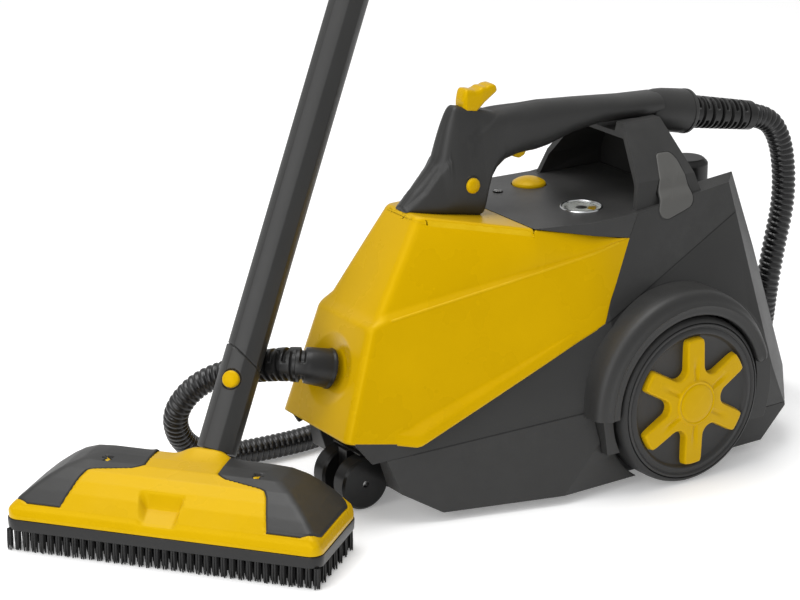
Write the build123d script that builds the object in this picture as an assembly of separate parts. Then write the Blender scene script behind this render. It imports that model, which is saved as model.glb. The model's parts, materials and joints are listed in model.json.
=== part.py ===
"""Canister steam cleaner with its docked steam gun, hose, floor brush and one extension tube.

Built in a frame whose X runs towards the back, Y across and Z up, with the rear axle above
X = 0. On export everything is moved so that the origin is under the middle of the whole set.
All sizes are millimetres.
"""
from build123d import *
import os
from math import pi, radians, tan

os.makedirs("parts", exist_ok=True)

# ---- driving dimensions -------------------------------------------------------------------
ORIGIN_X = 196.0            # shift that puts the origin under the middle of the whole set
ORIGIN_Y = 3.4
WALL = 2.8                  # moulded casing thickness
GAP = 0.6                   # room left around pieces that move

WHEEL_R = 75.0              # rear wheels
WHEEL_W = 30.0
WHEEL_INNER_Y = 98.0        # inner face of a rear wheel
WELL_R = WHEEL_R + 4.0
WELL_Y = 94.0               # face of the wheel well behind the wheel
FENDER_R = 95.0
FENDER_Y = 119.0
AXLE_R = 5.0
RUN_FIT = 0.08              # radial clearance of everything that turns on a pin
STAR_ARM = 56.7
STAR_ARMS = 6

BOILER_R = 48.0
BOILER_X = (-66.0, 110.0)
BOILER_Z = 150.0
NECK_X = 89.0               # filler neck and safety cap
NECK_R = 15.0
CAP_R = 19.0

DECK_Z = 236.0              # top of the control deck
GAUGE_AT = (-55.0, -36.0)
GAUGE_R = 17.5
BUTTON_AT = (-52.0, 45.0)
BUTTON_R = 15.0
LAMP_AT = (-89.0, 40.0)
LAMP_R = 4.5

CASTER_X = -252.0           # swivel axis of the front caster
CASTER_TRAIL = 16.0
CASTER_R = 23.0
CASTER_W = 49.0

HOSE_R = 11.0
SLEEVE_R = 14.5
GUN_HALF = 18.0             # half the thickness of the steam gun
GUN_WALL = 2.4

BRUSH_L = 267.0             # floor brush: length, width and heights
BRUSH_W = 90.0
BRISTLE_H = 17.5
BAND_H = 28.0
RIM_H = 43.0
TOP_H = 66.0
BRUSH_AT = (-438.6, -9.3)
BRUSH_TURN = -50.8          # direction of the brush's long axis
NECK_AT = (12.0, 40.0, 56.0)    # hinge of the brush's neck, in the brush's own frame
TUBE_LEAN = 28.0            # tube leans back over the brush
TUBE_SIDE = 8.2
TUBE_R = 16.0
TUBE_BORE = 13.0
COLLAR_BORE = 13.8          # the collar grips the neck, so its bore is wider than the tube's
COLLAR_L = 95.0
TUBE_L = 470.0

# ---- corners of the housing, on its right half (the machine faces -X) ---------------------
NOSE_LOW = (-304.0, 51.5, 76.0)
SHOULDER = (-274.0, 37.0, 169.0)
HOOD_FRONT = (-216.0, 24.0, 251.0)
DECK_FRONT = (-127.0, 67.0, DECK_Z)
DECK_REAR = (-26.0, 78.0, DECK_Z)
FLANK_FRONT = (-60.0, 112.0, 80.0)
FLANK_REAR = (90.0, 106.0, 80.0)
FLANK_FOOT = (-60.0, 107.0, 10.0)
TAIL_LOW = (112.0, 60.0, 18.0)
TAIL_MID = (151.0, 60.0, 61.0)
TAIL_HIGH = (124.0, 60.0, 173.0)
TAIL_TOP = (97.0, 60.0, 247.0)
CHEEK_LOW = (108.0, 105.0, 80.0)
CHEEK_BACK = (146.0, 68.0, 80.0)
CHEEK_TOP = (88.5, 62.0, 245.0)
BASE_NOSE = (-272.0, 60.0, 57.0)
BASE_CHIN = (-262.0, 60.0, 28.0)
BASE_KEEL = (-238.0, 60.0, 14.0)
BASE_Z = 8.0
CORE = Vector(-60, 0, 130)      # a point inside the housing

# ---- seams between the housing's pieces, as points (x, z) seen from the side ---------------
SEAM_NOSE = (-298.0, 75.5)
SEAM_CHIN = (-262.0, 71.0)
SEAM_KNEE = (-248.0, 73.0)
SEAM_FORK = (-72.0, 150.0)      # yellow cover, upper shell and lower shell meet here
SEAM_WAIST = (-65.0, 168.0)
SEAM_TOP = (-38.0, 217.0)       # yellow cover, deck and upper shell meet here
SEAM_BACK = (160.0, 253.5)      # end of the line that parts upper and lower shell
BASE_SEAM = [(-284.0, 56.3), (-250.0, 60.0), (-90.0, 77.4), (-84.0, 40.0), (170.0, 40.0)]
DECK_LINE_SLOPE = (TAIL_TOP[2] - DECK_Z) / (TAIL_TOP[0] - DECK_REAR[0])
HOOD_SLOPE = (HOOD_FRONT[2] - DECK_Z) / (HOOD_FRONT[0] - DECK_FRONT[0])

BLOCK_X = (-330.0, 170.0)       # block that the housing's planes are cut from
BLOCK_Y = 130.0
BLOCK_TOP = 262.0
BAY_X, BAY_Y, BAY_Z = 50.0, 52.0, 206.0     # open bay behind the arch, round the filler cap
ARCH_LEVELS = [                 # (z, front x, rear x, half width)
    (226.0, -27.0, 52.0, 76.0), (258.0, -17.0, 44.0, 66.0), (301.0, -7.0, 33.0, 30.0)]
ARCH_WALL = 4.0
CRADLE_Z = 292.8                # floor of the groove that carries the gun
CRADLE_Y = GUN_HALF + 2.5
WINDOW_DEPTH = 1.8
WINDOW = [                      # outline of the panel inset in the arch's side
    (14, 276), (26, 276), (31, 270), (35, 244), (30, 241), (3, 241), (-1, 246)]
DECK_HALF = 66.5                # half width of the deck under the arch
SOCKET_AT = Vector(-288.5, 0, 124)          # centre of the hose socket on the front face
FACE_TILT = (SHOULDER[0] - NOSE_LOW[0]) / (SHOULDER[2] - NOSE_LOW[2])
SOCKET_DIR = Vector(-1, 0, FACE_TILT).normalized()
SOCKET_R = 17.0
INLET_Y, INLET_Z, INLET_R = 30.0, 92.0, 9.0     # mains cord inlet in the back
CASTER_ROOF = 51.0
CASTER_SWEEP = 48.0             # radius of the pocket in which the caster can swivel right round
CASTER_SOCKET_R = 9.0
CASTER_STEM_R = 4.0
CASTER_AXLE_R = 3.0

GAUGE_DEPTH = 18.0              # instruments in the deck
BEZEL_H = 2.4
BEZEL_RIM = 2.0
NEEDLE_L = 12.5
NEEDLE_REST = 115.0             # direction the needle points in when there is no pressure
BUTTON_EDGE = 1.5               # the button's side stands this much above the deck
BUTTON_DOME_R = 24.7
BUTTON_DOME_DROP = 19.5

BOILER_WALL = 1.5
BOILER_CORNER = 12.0
HEATER_R = 3.5
STEAM_PIPE_R = 4.0
STEAM_PIPE_Z = 132.0
CAP_TOP = 13.0                  # the cap stands this much above the deck's level
CAP_PIN_R = 4.0

STAR_HUB_R = 20.0
STAR_RISE = 4.0                 # the star stands this much above the tyre's side
TYRE_DEPTH = 8.0

# ---- hose: from the socket's sleeve round the front, along the floor, up the back ----------
HOSE_ROUTE = [
    (-337, 42.5, 122), (-350, 62, 115.5), (-373, 79, 102), (-387, 92, 77), (-377, 106, 48),
    (-353, 117, 24), (-322, 121, 12.4), (-285, 118, 11.6), (-235, 117, 11.6),
    (-165, 136, 11.6), (-80, 174, 11.6), (30, 204, 11.6), (120, 206, 11.6),
    (184, 180, 11.6), (214, 128, 11.6), (216, 76, 14), (207, 38, 32),
    (195, 12, 66), (188, 0, 104), (195, 0, 146), (204, 0, 184), (204, 0, 218),
    (197, 0, 251), (180.5, 0, 273), (160.5, 0, 277)]
SLEEVE_ROUTE = [(-288.5, 0, 124), (-309, 4, 130.4), (-325, 24.5, 128), (-337, 42.5, 122)]
REAR_SLEEVE = [(94, 0, 290.3), (160.5, 0, 277)]

# ---- steam gun: outlines in (x, z) ---------------------------------------------------------
GUN_OUTLINE = [(-222, 256.5), (-196, 249.5), (-165, 244), (-134, 238.5), (-132, 255), (-128, 271),
               (-114, 283), (-100, 285), (-78, 284), (-70, 288), (-45, 294.5), (-16, 297.5),
               (20, 295), (52, 292), (60, 300), (60, 316.6), (12, 318.5), (-37, 322), (-75, 325),
               (-113, 325), (-128, 325), (-150, 330), (-170, 334), (-178, 324), (-185, 306),
               (-189, 289), (-206, 271)]
TRIGGER_OUTLINE = [(-111, 296), (-108, 286), (-104, 280.5), (-99, 279), (-94, 281), (-91, 287),
                   (-90, 296)]
LEVER_OUTLINE = [(-160, 335), (-157, 345), (-142, 343), (-129, 343), (-122, 339), (-124, 331),
                 (-141, 330), (-148, 332)]
GUN_BUTTON_AT = (-157.6, 267.4)
GUN_BUTTON_R = 6.7
TRIGGER_Y = 6.0
LEVER_Y = 9.0
GUN_COLLAR_R = GUN_HALF + 1.6
GUN_COLLAR_L = 49.0
SPOUT_Z = 273.0
SPOUT_R = 7.5

# ---- flaps and neck of the brush, in the brush's own frame ---------------------------------
CLAMP_X = 35.0                  # inner edge of a flap's tongue
CLAMP_OUT = 80.0                # the flap's full-width part starts here
CLAMP_HINGE = (38.5, 60.0)      # (x, z) of a flap's pin
CLAMP_Y = (-36.0, 33.0)
CLAMP_PIN_R = 1.6
NECK_PIN_R = 4.0
NECK_PIN_HALF = 21.0
COLLAR_START = 24.0             # the collar starts this far up from the neck's hinge
TUBE_BUTTON_AT = 75.0            # the button stands above the end of the neck
TUBE_BUTTON_R = 7.3

parts = {}


# ---- small helpers ------------------------------------------------------------------------
def box(x0, x1, y0, y1, z0, z1):
    """Box between two corners."""
    return Pos((x0 + x1) / 2, (y0 + y1) / 2, (z0 + z1) / 2) * Box(x1 - x0, y1 - y0, z1 - z0)


def side_prism(points, y0, y1):
    """Outline in (x, z) carried from y0 to y1."""
    outline = Polyline(*[(x, y0, z) for x, z in points], close=True)
    return extrude(make_face(outline), y1 - y0, dir=(0, 1, 0))


def rod(start, end, radius):
    """Round bar between two points."""
    start, end = Vector(*start), Vector(*end)
    length = (end - start).length
    place = Plane(origin=start, z_dir=end - start)
    return place * Cylinder(radius, length, align=(Align.CENTER, Align.CENTER, Align.MIN))


def pipe(start, end, outer, inner):
    """Round tube between two points."""
    return rod(start, end, outer) - rod(start, end, inner)


def ring(x, z, y0, y1, outer, inner):
    """Flat ring about an axis along Y."""
    return rod((x, y0, z), (x, y1, z), outer) - rod((x, y0 - 1, z), (x, y1 + 1, z), inner)


def mirrored(shape):
    """The same shape on the other side of the machine."""
    return mirror(shape, about=Plane.XZ)


def trim(solid, corners, inset=0.0):
    """Cut a solid by the plane through three corners, moved inwards by inset."""
    a, b, c = [Vector(*corner) for corner in corners]
    normal = (b - a).cross(c - a).normalized()
    if normal.dot(a - CORE) < 0:
        normal = normal * -1
    plane = Plane(origin=a - normal * inset, z_dir=normal)
    return split(solid, bisect_by=plane, keep=Keep.BOTTOM)


def flip(corner):
    """Mirror image of a corner across the middle plane."""
    return (corner[0], -corner[1], corner[2])


def envelope(inset):
    """Outer form of the housing, or the room inside it when inset is the wall."""
    solid = box(*BLOCK_X, -BLOCK_Y, BLOCK_Y, BASE_Z + inset, BLOCK_TOP)
    pairs = [
        (NOSE_LOW, FLANK_FRONT, DECK_FRONT), (SHOULDER, HOOD_FRONT, DECK_FRONT),
        (FLANK_FRONT, FLANK_REAR, DECK_REAR), (FLANK_FRONT, FLANK_REAR, FLANK_FOOT),
        (CHEEK_LOW, CHEEK_BACK, CHEEK_TOP),
    ]
    for a, b, c in pairs:
        solid = trim(solid, (a, b, c), inset)
        solid = trim(solid, (flip(a), flip(b), flip(c)), inset)
    across = [(NOSE_LOW, SHOULDER), (SHOULDER, HOOD_FRONT), (TAIL_LOW, TAIL_MID),
              (TAIL_MID, TAIL_HIGH), (TAIL_HIGH, TAIL_TOP)]
    for a, b in across:
        solid = trim(solid, (a, flip(a), b), inset)
    return solid


# ---- housing ------------------------------------------------------------------------------
bay = box(BAY_X, 200, -BAY_Y, BAY_Y, BAY_Z, 300)
bay_lining = box(BAY_X - WALL, 200, -BAY_Y - WALL, BAY_Y + WALL, BAY_Z - WALL, 300)
outer = envelope(0) - bay
inner = envelope(WALL) - bay_lining


def region(points):
    """Slab of space as wide as the machine, over an outline in (x, z)."""
    return side_prism(points, -BLOCK_Y - 10, BLOCK_Y + 10)


def hood_line(x):
    """Height of the sloping top of the yellow cover."""
    return DECK_Z + HOOD_SLOPE * (x - DECK_FRONT[0])


def shell_line(x):
    """Height of the top of the upper shell."""
    return DECK_Z + DECK_LINE_SLOPE * (x - DECK_REAR[0])


def plan_loft(levels):
    """Ruled loft through rectangles at several heights."""
    faces = []
    for z, x0, x1, half in levels:
        faces.append(Pos((x0 + x1) / 2, 0, z) * Rectangle(x1 - x0, 2 * half))
    return loft(faces, ruled=True)


def along_socket(distance):
    """Point on the socket's axis, measured outwards from the front face."""
    return tuple(SOCKET_AT + SOCKET_DIR * distance)


def make_front_shell():
    """Yellow front cover with the hole for the hose socket."""
    slab = region([SEAM_NOSE, SEAM_CHIN, SEAM_KNEE, SEAM_FORK, SEAM_WAIST, SEAM_TOP,
                   (DECK_FRONT[0], DECK_Z), (-340, hood_line(-340)), (-340, SEAM_NOSE[1])])
    room = region([(-400, 0), (100, 0), (100, 300), (DECK_FRONT[0] + 2, 300),
                   (DECK_FRONT[0] + 2, DECK_Z - WALL), (-400, hood_line(-400) - WALL)])
    shell = (outer & slab) - (inner & room)
    return shell - rod(along_socket(-12), along_socket(12), SOCKET_R)


def make_arch():
    """Arch that carries the rear of the gun, open at the front."""
    walls = plan_loft(ARCH_LEVELS)
    hollow_levels = [(z - ARCH_WALL, -70.0, x1 - ARCH_WALL, half - ARCH_WALL)
                     for z, x0, x1, half in ARCH_LEVELS]
    hollow_levels[-1] = (CRADLE_Z - ARCH_WALL, -70.0, 34.0 - ARCH_WALL, 34.0)
    cradle = box(-60, 80, -CRADLE_Y, CRADLE_Y, CRADLE_Z, 320)
    return walls - plan_loft(hollow_levels) - cradle


def window_panel(shrink):
    """Thin panel let into the right side of the arch, smaller all round by shrink."""
    outline = make_face(Polyline(*[(x, 20, z) for x, z in WINDOW], close=True))
    prism = extrude(offset(outline, -shrink) if shrink else outline, 80, dir=(0, 1, 0))
    core_levels = [(z, x0 - 20, x1 + 20, half - WINDOW_DEPTH) for z, x0, x1, half in ARCH_LEVELS]
    return prism & (plan_loft(ARCH_LEVELS) - plan_loft(core_levels))


def make_upper_shell():
    """Upper rear shell with the arch, the filler bay and the opening for the deck."""
    slab = region([SEAM_FORK, SEAM_BACK, (160, shell_line(160)), (DECK_REAR[0], DECK_Z),
                   SEAM_TOP, SEAM_WAIST])
    room = region([(-400, 0), (400, 0), (400, shell_line(400) - WALL),
                   (DECK_REAR[0], DECK_Z - WALL), (-400, DECK_Z - WALL)])
    shell = (outer & slab) - (inner & room) - box(-40, 44, -DECK_HALF - 0.3, DECK_HALF + 0.3, 222, 262)
    pocket = window_panel(0.0)
    return shell + make_arch() - pocket - mirrored(pocket)


def wheel_space(radius, y_from):
    """Cylinders round the rear axle, from y_from outwards on both sides."""
    space = rod((0, y_from, WHEEL_R), (0, 160, WHEEL_R), radius)
    return space + mirrored(space)


def make_lower_shell():
    """Lower rear shell with both wheel wells and their fenders."""
    slab = region([SEAM_NOSE, SEAM_CHIN, SEAM_KNEE, SEAM_FORK, SEAM_BACK, (200, 250)]
                  + BASE_SEAM[::-1])
    shell = (outer & slab) - inner
    above_base = region([(-120, 78), (-90.0, 77.4), (-84.0, 40.0), (170.0, 40.0), (170, 300),
                         (-120, 300)])
    fender = ring(0, WHEEL_R, WELL_Y - WALL, FENDER_Y, FENDER_R, WELL_R) & above_base
    well = rod((0, WELL_Y - WALL, WHEEL_R), (0, FENDER_Y - 8, WHEEL_R), WELL_R + WALL) & above_base
    cup = (well + fender) - rod((0, WELL_Y, WHEEL_R), (0, 160, WHEEL_R), WELL_R)
    shell = shell - wheel_space(WELL_R + WALL, WELL_Y - WALL) + cup + mirrored(cup)
    shell = shell - rod((0, -160, WHEEL_R), (0, 160, WHEEL_R), AXLE_R + 3.5)
    neck_hole = rod((NECK_X, 0, BAY_Z - 20), (NECK_X, 0, BAY_Z + 20), NECK_R + GAP)
    inlet_hole = rod((100, INLET_Y, INLET_Z), (180, INLET_Y, INLET_Z), INLET_R)
    return shell - neck_hole - inlet_hole


def make_base_tray():
    """Base tray with the pocket for the caster."""
    below = region([(-340, BASE_SEAM[0][1])] + BASE_SEAM + [(170, 0), (-340, 0)])
    body, room = outer & below, inner & below
    for a, b in ((BASE_NOSE, BASE_CHIN), (BASE_CHIN, BASE_KEEL)):
        body = trim(body, (a, flip(a), b))
        room = trim(room, (a, flip(a), b), WALL)
    tray = body - (room - caster_pocket(WALL)) - caster_pocket(0)
    tray = tray - wheel_space(WELL_R, WELL_Y)
    wells = rod((0, WELL_Y - WALL, WHEEL_R), (0, 108, WHEEL_R), WELL_R + WALL)
    lining = (wells - wheel_space(WELL_R, WELL_Y)) & below & outer
    tray = tray + lining + mirrored(lining)
    stem_hole = rod((CASTER_X, 0, 30), (CASTER_X, 0, 80), CASTER_SOCKET_R)
    return tray - stem_hole


def caster_pocket(grow):
    """Space in which the caster swivels, open to the front; grow adds its wall."""
    radius, roof = CASTER_SWEEP + grow, CASTER_ROOF + grow
    return rod((CASTER_X, 0, 0), (CASTER_X, 0, roof), radius) + box(-320, CASTER_X, -radius,
                                                                    radius, 0, roof)


def make_deck():
    """Control deck: top plate, side bands and the plate that runs back under the arch."""
    slab = region([(DECK_FRONT[0], DECK_Z), SEAM_TOP, (DECK_REAR[0], DECK_Z)])
    room = region([(-400, 0), (400, 0), (400, DECK_Z - WALL), (-400, DECK_Z - WALL)])
    deck = (outer & slab) - (inner & room)
    deck = deck + box(DECK_REAR[0] - 2, 42.5, -DECK_HALF, DECK_HALF, DECK_Z - WALL, DECK_Z)
    holes = [(GAUGE_AT, GAUGE_R + 0.3), (BUTTON_AT, BUTTON_R + GAP), (LAMP_AT, LAMP_R)]
    for (x, y), radius in holes:
        deck = deck - rod((x, y, DECK_Z - 20), (x, y, DECK_Z + 20), radius)
    return deck


# ---- instruments on the deck --------------------------------------------------------------
def make_gauge():
    """Pressure gauge: case with bezel and spindle, dial, needle and glass."""
    x, y = GAUGE_AT
    z = DECK_Z
    case = rod((x, y, z - GAUGE_DEPTH), (x, y, z), GAUGE_R)
    case = case + rod((x, y, z), (x, y, z + BEZEL_H), GAUGE_R + BEZEL_RIM)
    floor_z = z - GAUGE_DEPTH + 2
    case = case - rod((x, y, floor_z), (x, y, z + 5), GAUGE_R - 1.8)
    case = case + rod((x, y, floor_z), (x, y, z - 3), 1.0)
    dial = pipe((x, y, z - 8), (x, y, z - 7), GAUGE_R - 2.0, 1.3)
    hub = pipe((x, y, z - 6), (x, y, z - 3.5), 2.6, 1.0 + RUN_FIT)
    pointer = box(x + 2, x + NEEDLE_L, y - 0.6, y + 0.6, z - 5.2, z - 4.4)
    lens = rod((x, y, z - 0.8), (x, y, z + 0.6), GAUGE_R - 1.9)
    turn = Location((x, y, 0), (0, 0, NEEDLE_REST)) * Location((-x, -y, 0))
    return {"gauge_case": case, "gauge_dial": dial, "gauge_needle": turn * (hub + pointer),
            "gauge_lens": lens}


def make_power_button():
    """Domed push button and the switch block under it."""
    x, y = BUTTON_AT
    edge_z = DECK_Z + BUTTON_EDGE
    stem = rod((x, y, DECK_Z - 9), (x, y, edge_z), BUTTON_R)
    dome = Pos(x, y, edge_z - BUTTON_DOME_DROP) * Sphere(BUTTON_DOME_R)
    cap = dome & rod((x, y, edge_z), (x, y, edge_z + BUTTON_R), BUTTON_R)
    switch = box(x - 12, x + 12, y - 8, y + 8, DECK_Z - 32, DECK_Z - 13)
    return {"power_button": stem + cap, "power_switch": switch}


# ---- boiler and its fittings --------------------------------------------------------------
def capsule(radius, x0, x1, dome):
    """Cylinder along X with rounded ends."""
    return fillet(rod((x0, 0, 0), (x1, 0, 0), radius).edges().filter_by(GeomType.CIRCLE), dome)


def make_boiler_group():
    """Boiler with its heater, sensors, valve, pipe, filler neck and safety cap."""
    x0, x1 = BOILER_X
    place = Pos(0, 0, BOILER_Z)
    shell = capsule(BOILER_R, x0, x1, BOILER_CORNER)
    shell = shell - capsule(BOILER_R - BOILER_WALL, x0 + BOILER_WALL, x1 - BOILER_WALL, BOILER_CORNER)
    boiler = place * shell
    neck_foot = BOILER_Z + BOILER_R - 4
    bore = rod((NECK_X, 0, neck_foot - 20), (NECK_X, 0, 260), NECK_R - 4)
    boiler = boiler - bore
    neck = pipe((NECK_X, 0, neck_foot), (NECK_X, 0, DECK_Z - 4), NECK_R, NECK_R - 4)
    neck = neck - place * capsule(BOILER_R + 0.02, x0, x1, BOILER_CORNER)
    core = rod((NECK_X, 0, DECK_Z - 24), (NECK_X, 0, DECK_Z - 3.6), NECK_R - 4.3)
    core = core + rod((NECK_X, 0, DECK_Z - 3.6), (NECK_X, 0, DECK_Z - 0.4), NECK_R - 0.6)
    core = core + rod((NECK_X, 0, DECK_Z - 0.4), (NECK_X, 0, DECK_Z + 7), CAP_PIN_R)
    cap = rod((NECK_X, 0, DECK_Z - 22), (NECK_X, 0, DECK_Z + CAP_TOP), CAP_R)
    cap = chamfer(cap.edges().sort_by(Axis.Z)[-1:], 4)
    cap = cap - rod((NECK_X, 0, DECK_Z - 30), (NECK_X, 0, DECK_Z + 0.2), NECK_R + GAP)
    cap = cap - rod((NECK_X, 0, DECK_Z - 1), (NECK_X, 0, DECK_Z + 7.6), CAP_PIN_R + RUN_FIT)

    heater_z = BOILER_Z - BOILER_R - HEATER_R - 0.9
    bend = FilletPolyline((x0 + 14, -20, heater_z), (x1 - 14, -20, heater_z),
                          (x1 - 14, 20, heater_z), (x0 + 14, 20, heater_z), radius=12)
    heater = sweep(Plane(origin=bend @ 0, z_dir=bend % 0) * Circle(HEATER_R), path=bend)
    thermostat = rod((x0 - 9, 0, BOILER_Z + 24), (x0 - 0.5, 0, BOILER_Z + 24), 8)
    pressure = rod((-30, 0, BOILER_Z + BOILER_R + 0.3), (-30, 0, BOILER_Z + BOILER_R + 20), 9)
    valve = box(-112, -84, -14, 14, 118, 146) + rod((-98, 0, 146), (-98, 0, 178), 12)
    pipes = rod((-84, 0, STEAM_PIPE_Z), (x0 - 0.3, 0, STEAM_PIPE_Z), STEAM_PIPE_R)
    pipes = Compound([pipes, rod((-112.6, 0, STEAM_PIPE_Z), along_socket(-15), STEAM_PIPE_R)])
    board = box(-190, -130, -34, 34, 92, 94)
    for x, y, high in ((-178, -20, 16), (-160, 12, 24), (-142, -14, 12)):
        board = board + box(x - 7, x + 7, y - 8, y + 8, 94, 94 + high)
    return {"boiler": boiler, "filler_neck": neck, "cap_core": core, "filler_cap": cap,
            "heating_element": heater, "thermostat": thermostat, "pressure_switch": pressure,
            "solenoid_valve": valve, "steam_pipe": pipes, "control_board": board}


# ---- wheels and caster --------------------------------------------------------------------
def make_star():
    """Six-armed wheel cap: tapered arms round a hub, one arm pointing up."""
    face_y = WHEEL_INNER_Y + WHEEL_W
    star = rod((0, face_y - 5, WHEEL_R), (0, face_y + STAR_RISE - 1, WHEEL_R), STAR_HUB_R)
    for k in range(STAR_ARMS):
        arm = [(-6.5, WHEEL_R + 10), (6.5, WHEEL_R + 10), (12.5, WHEEL_R + STAR_ARM - 4),
               (9, WHEEL_R + STAR_ARM), (-9, WHEEL_R + STAR_ARM), (-12.5, WHEEL_R + STAR_ARM - 4)]
        blade = side_prism(arm, face_y - 5, face_y + STAR_RISE)
        star = star + blade.rotate(Axis((0, 0, WHEEL_R), (0, 1, 0)), 360 / STAR_ARMS * k)
    return star


def make_wheel():
    """Right rear wheel: tyre, disc with hub, star cap."""
    y0, y1 = WHEEL_INNER_Y, WHEEL_INNER_Y + WHEEL_W
    rim_r = WHEEL_R - TYRE_DEPTH
    tyre = ring(0, WHEEL_R, y0, y1, WHEEL_R, rim_r)
    tyre = chamfer(tyre.edges().filter_by(GeomType.CIRCLE).sort_by(SortBy.LENGTH)[-2:], 4)
    disc = ring(0, WHEEL_R, y0 + 1, y0 + 8, rim_r, AXLE_R + RUN_FIT)
    disc = disc + ring(0, WHEEL_R, y0 + 1, y1 - 2, rim_r, rim_r - 4)
    disc = disc + ring(0, WHEEL_R, y0 + 1, y1 - 6, 14, AXLE_R + RUN_FIT)
    plate = ring(0, WHEEL_R, y1 - 9, y1 - 5, rim_r, AXLE_R + RUN_FIT)
    star = make_star() - rod((0, 0, WHEEL_R), (0, y1 - 4.4, WHEEL_R), AXLE_R + 1)
    return {"tyre": tyre, "wheel_disc": disc + plate, "star_cap": star}


def make_caster():
    """Twin-wheel caster: socket in the base, swivelling fork with a hood, pin and wheels."""
    axle_x = CASTER_X - CASTER_TRAIL
    socket = pipe((CASTER_X, 0, CASTER_ROOF - 0.5), (CASTER_X, 0, 68), CASTER_SOCKET_R,
                  CASTER_STEM_R + RUN_FIT)
    stem = rod((CASTER_X, 0, 40), (CASTER_X, 0, 66), CASTER_STEM_R)
    web = box(CASTER_X - 24, CASTER_X + 16, -6.5, 6.5, 16, CASTER_ROOF - 2)
    hood = rod((axle_x, -21, CASTER_R), (axle_x, 21, CASTER_R), CASTER_R + 4)
    hood = hood - rod((axle_x, -30, CASTER_R), (axle_x, 30, CASTER_R), CASTER_R + 2.5)
    hood = hood & box(axle_x - 4, axle_x + 60, -30, 30, 14, 80)
    axle_hole = rod((axle_x, -30, CASTER_R), (axle_x, 30, CASTER_R), CASTER_AXLE_R)
    fork = (web + hood + stem) - axle_hole
    half = CASTER_W / 2
    wheels = [ring(axle_x, CASTER_R, min(side * 7.5, side * half), max(side * 7.5, side * half),
                   CASTER_R, CASTER_AXLE_R + RUN_FIT) for side in (-1, 1)]
    wheels = [chamfer(w.edges().filter_by(GeomType.CIRCLE).sort_by(SortBy.LENGTH)[-2:], 2)
              for w in wheels]
    axle = rod((axle_x, -half + 3, CASTER_R), (axle_x, half - 3, CASTER_R), CASTER_AXLE_R)
    return {"caster_socket": socket, "caster_fork": fork, "caster_axle": axle,
            "caster_wheels": Compound(wheels)}


# ---- hose ---------------------------------------------------------------------------------
def corner_radii(points):
    """Largest fillet for each corner: 0.45 of the shorter run over the tangent of half the turn."""
    radii = []
    for before, at, after in zip(points, points[1:], points[2:]):
        into = Vector(*at) - Vector(*before)
        out = Vector(*after) - Vector(*at)
        half_turn = radians(into.get_angle(out)) / 2
        radii.append(0.45 * min(into.length, out.length) / tan(half_turn))
    return radii


def tube_along(points, radius):
    """Round tube along straight runs joined by arcs."""
    path = FilletPolyline(*points, radius=corner_radii(points))
    return sweep(Plane(origin=path @ 0, z_dir=path % 0) * Circle(radius), path=path), path


def make_hose():
    """Corrugated steam hose and the sleeves at both of its ends."""
    hose, path = tube_along(HOSE_ROUTE, HOSE_R)
    print("hose length", round(path.length, 1), "volume ratio",
          round(hose.volume / (pi * HOSE_R ** 2 * path.length), 5))
    print("hose radii", [round(r, 1) for r in corner_radii(HOSE_ROUTE)])
    front, _ = tube_along(SLEEVE_ROUTE, SLEEVE_R)
    front = front - rod(along_socket(-20), along_socket(4), 40)
    socket = rod(along_socket(-14), along_socket(4), SOCKET_R - 0.4)
    socket = socket + rod(along_socket(0.4), along_socket(4), SOCKET_R + 3)
    socket = socket - rod(along_socket(-15), along_socket(-4), 6)
    return {"hose": hose, "front_sleeve": front, "hose_socket": socket}


# ---- steam gun ----------------------------------------------------------------------------
def make_gun():
    """Steam gun: two shell halves, collar, sleeve, inner pipe, trigger, lever and button."""
    face = make_face(Polyline(*[(x, 0, z) for x, z in GUN_OUTLINE], close=True))
    solid = extrude(face, GUN_HALF, dir=(0, 1, 0))
    cavity = extrude(offset(face, -GUN_WALL), GUN_HALF - GUN_WALL, dir=(0, 1, 0))
    axis_start, axis_end = Vector(*REAR_SLEEVE[0]), Vector(*REAR_SLEEVE[1])
    back = (axis_end - axis_start).normalized()
    collar_end = axis_start + back
    collar_start = collar_end - back * GUN_COLLAR_L
    half = solid - cavity - rod(collar_start, collar_end + back * 20, GUN_HALF + 2)
    trigger_slot = box(-113, -88, -TRIGGER_Y - GAP, TRIGGER_Y + GAP, 276, 294)
    lever_slot = box(-163, -120, -LEVER_Y - GAP, LEVER_Y + GAP, 329, 350)
    nozzle_tip = rod((-230, 0, SPOUT_Z), (-184, 0, SPOUT_Z), SPOUT_R + 1.5)
    half = half - trigger_slot - lever_slot - nozzle_tip
    x, z = GUN_BUTTON_AT
    right, left = half, mirrored(half)
    left = left - rod((x, -40, z), (x, 0, z), GUN_BUTTON_R + 0.4)
    collar = pipe(collar_start, collar_end, GUN_COLLAR_R, 7)
    sleeve = rod(collar_end, axis_end, SLEEVE_R)
    spout = pipe((-230, 0, SPOUT_Z), (-180, 0, SPOUT_Z), SPOUT_R, 4.0) & (solid + mirrored(solid))
    pipe_line = rod((-172, 0, SPOUT_Z), (-150, 0, 290), 3.5) + rod((-150, 0, 290), (-120, 0, 308), 3.5)
    pipe_line = pipe_line + rod((-120, 0, 308), (-50, 0, 308), 3.5)
    pipe_line = pipe_line + Pos(-172, 0, SPOUT_Z) * Sphere(7.4)
    trigger = side_prism(TRIGGER_OUTLINE, -TRIGGER_Y, TRIGGER_Y)
    lever = side_prism(LEVER_OUTLINE, -LEVER_Y, LEVER_Y)
    button = rod((x, -GUN_HALF - 1.5, z), (x, -GUN_HALF + 7, z), GUN_BUTTON_R)
    return {"gun_shell_left": left, "gun_shell_right": right, "gun_collar": collar,
            "gun_sleeve": sleeve, "gun_spout": spout, "gun_pipe": pipe_line, "trigger": trigger,
            "steam_lever": lever, "gun_button": button}


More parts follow.
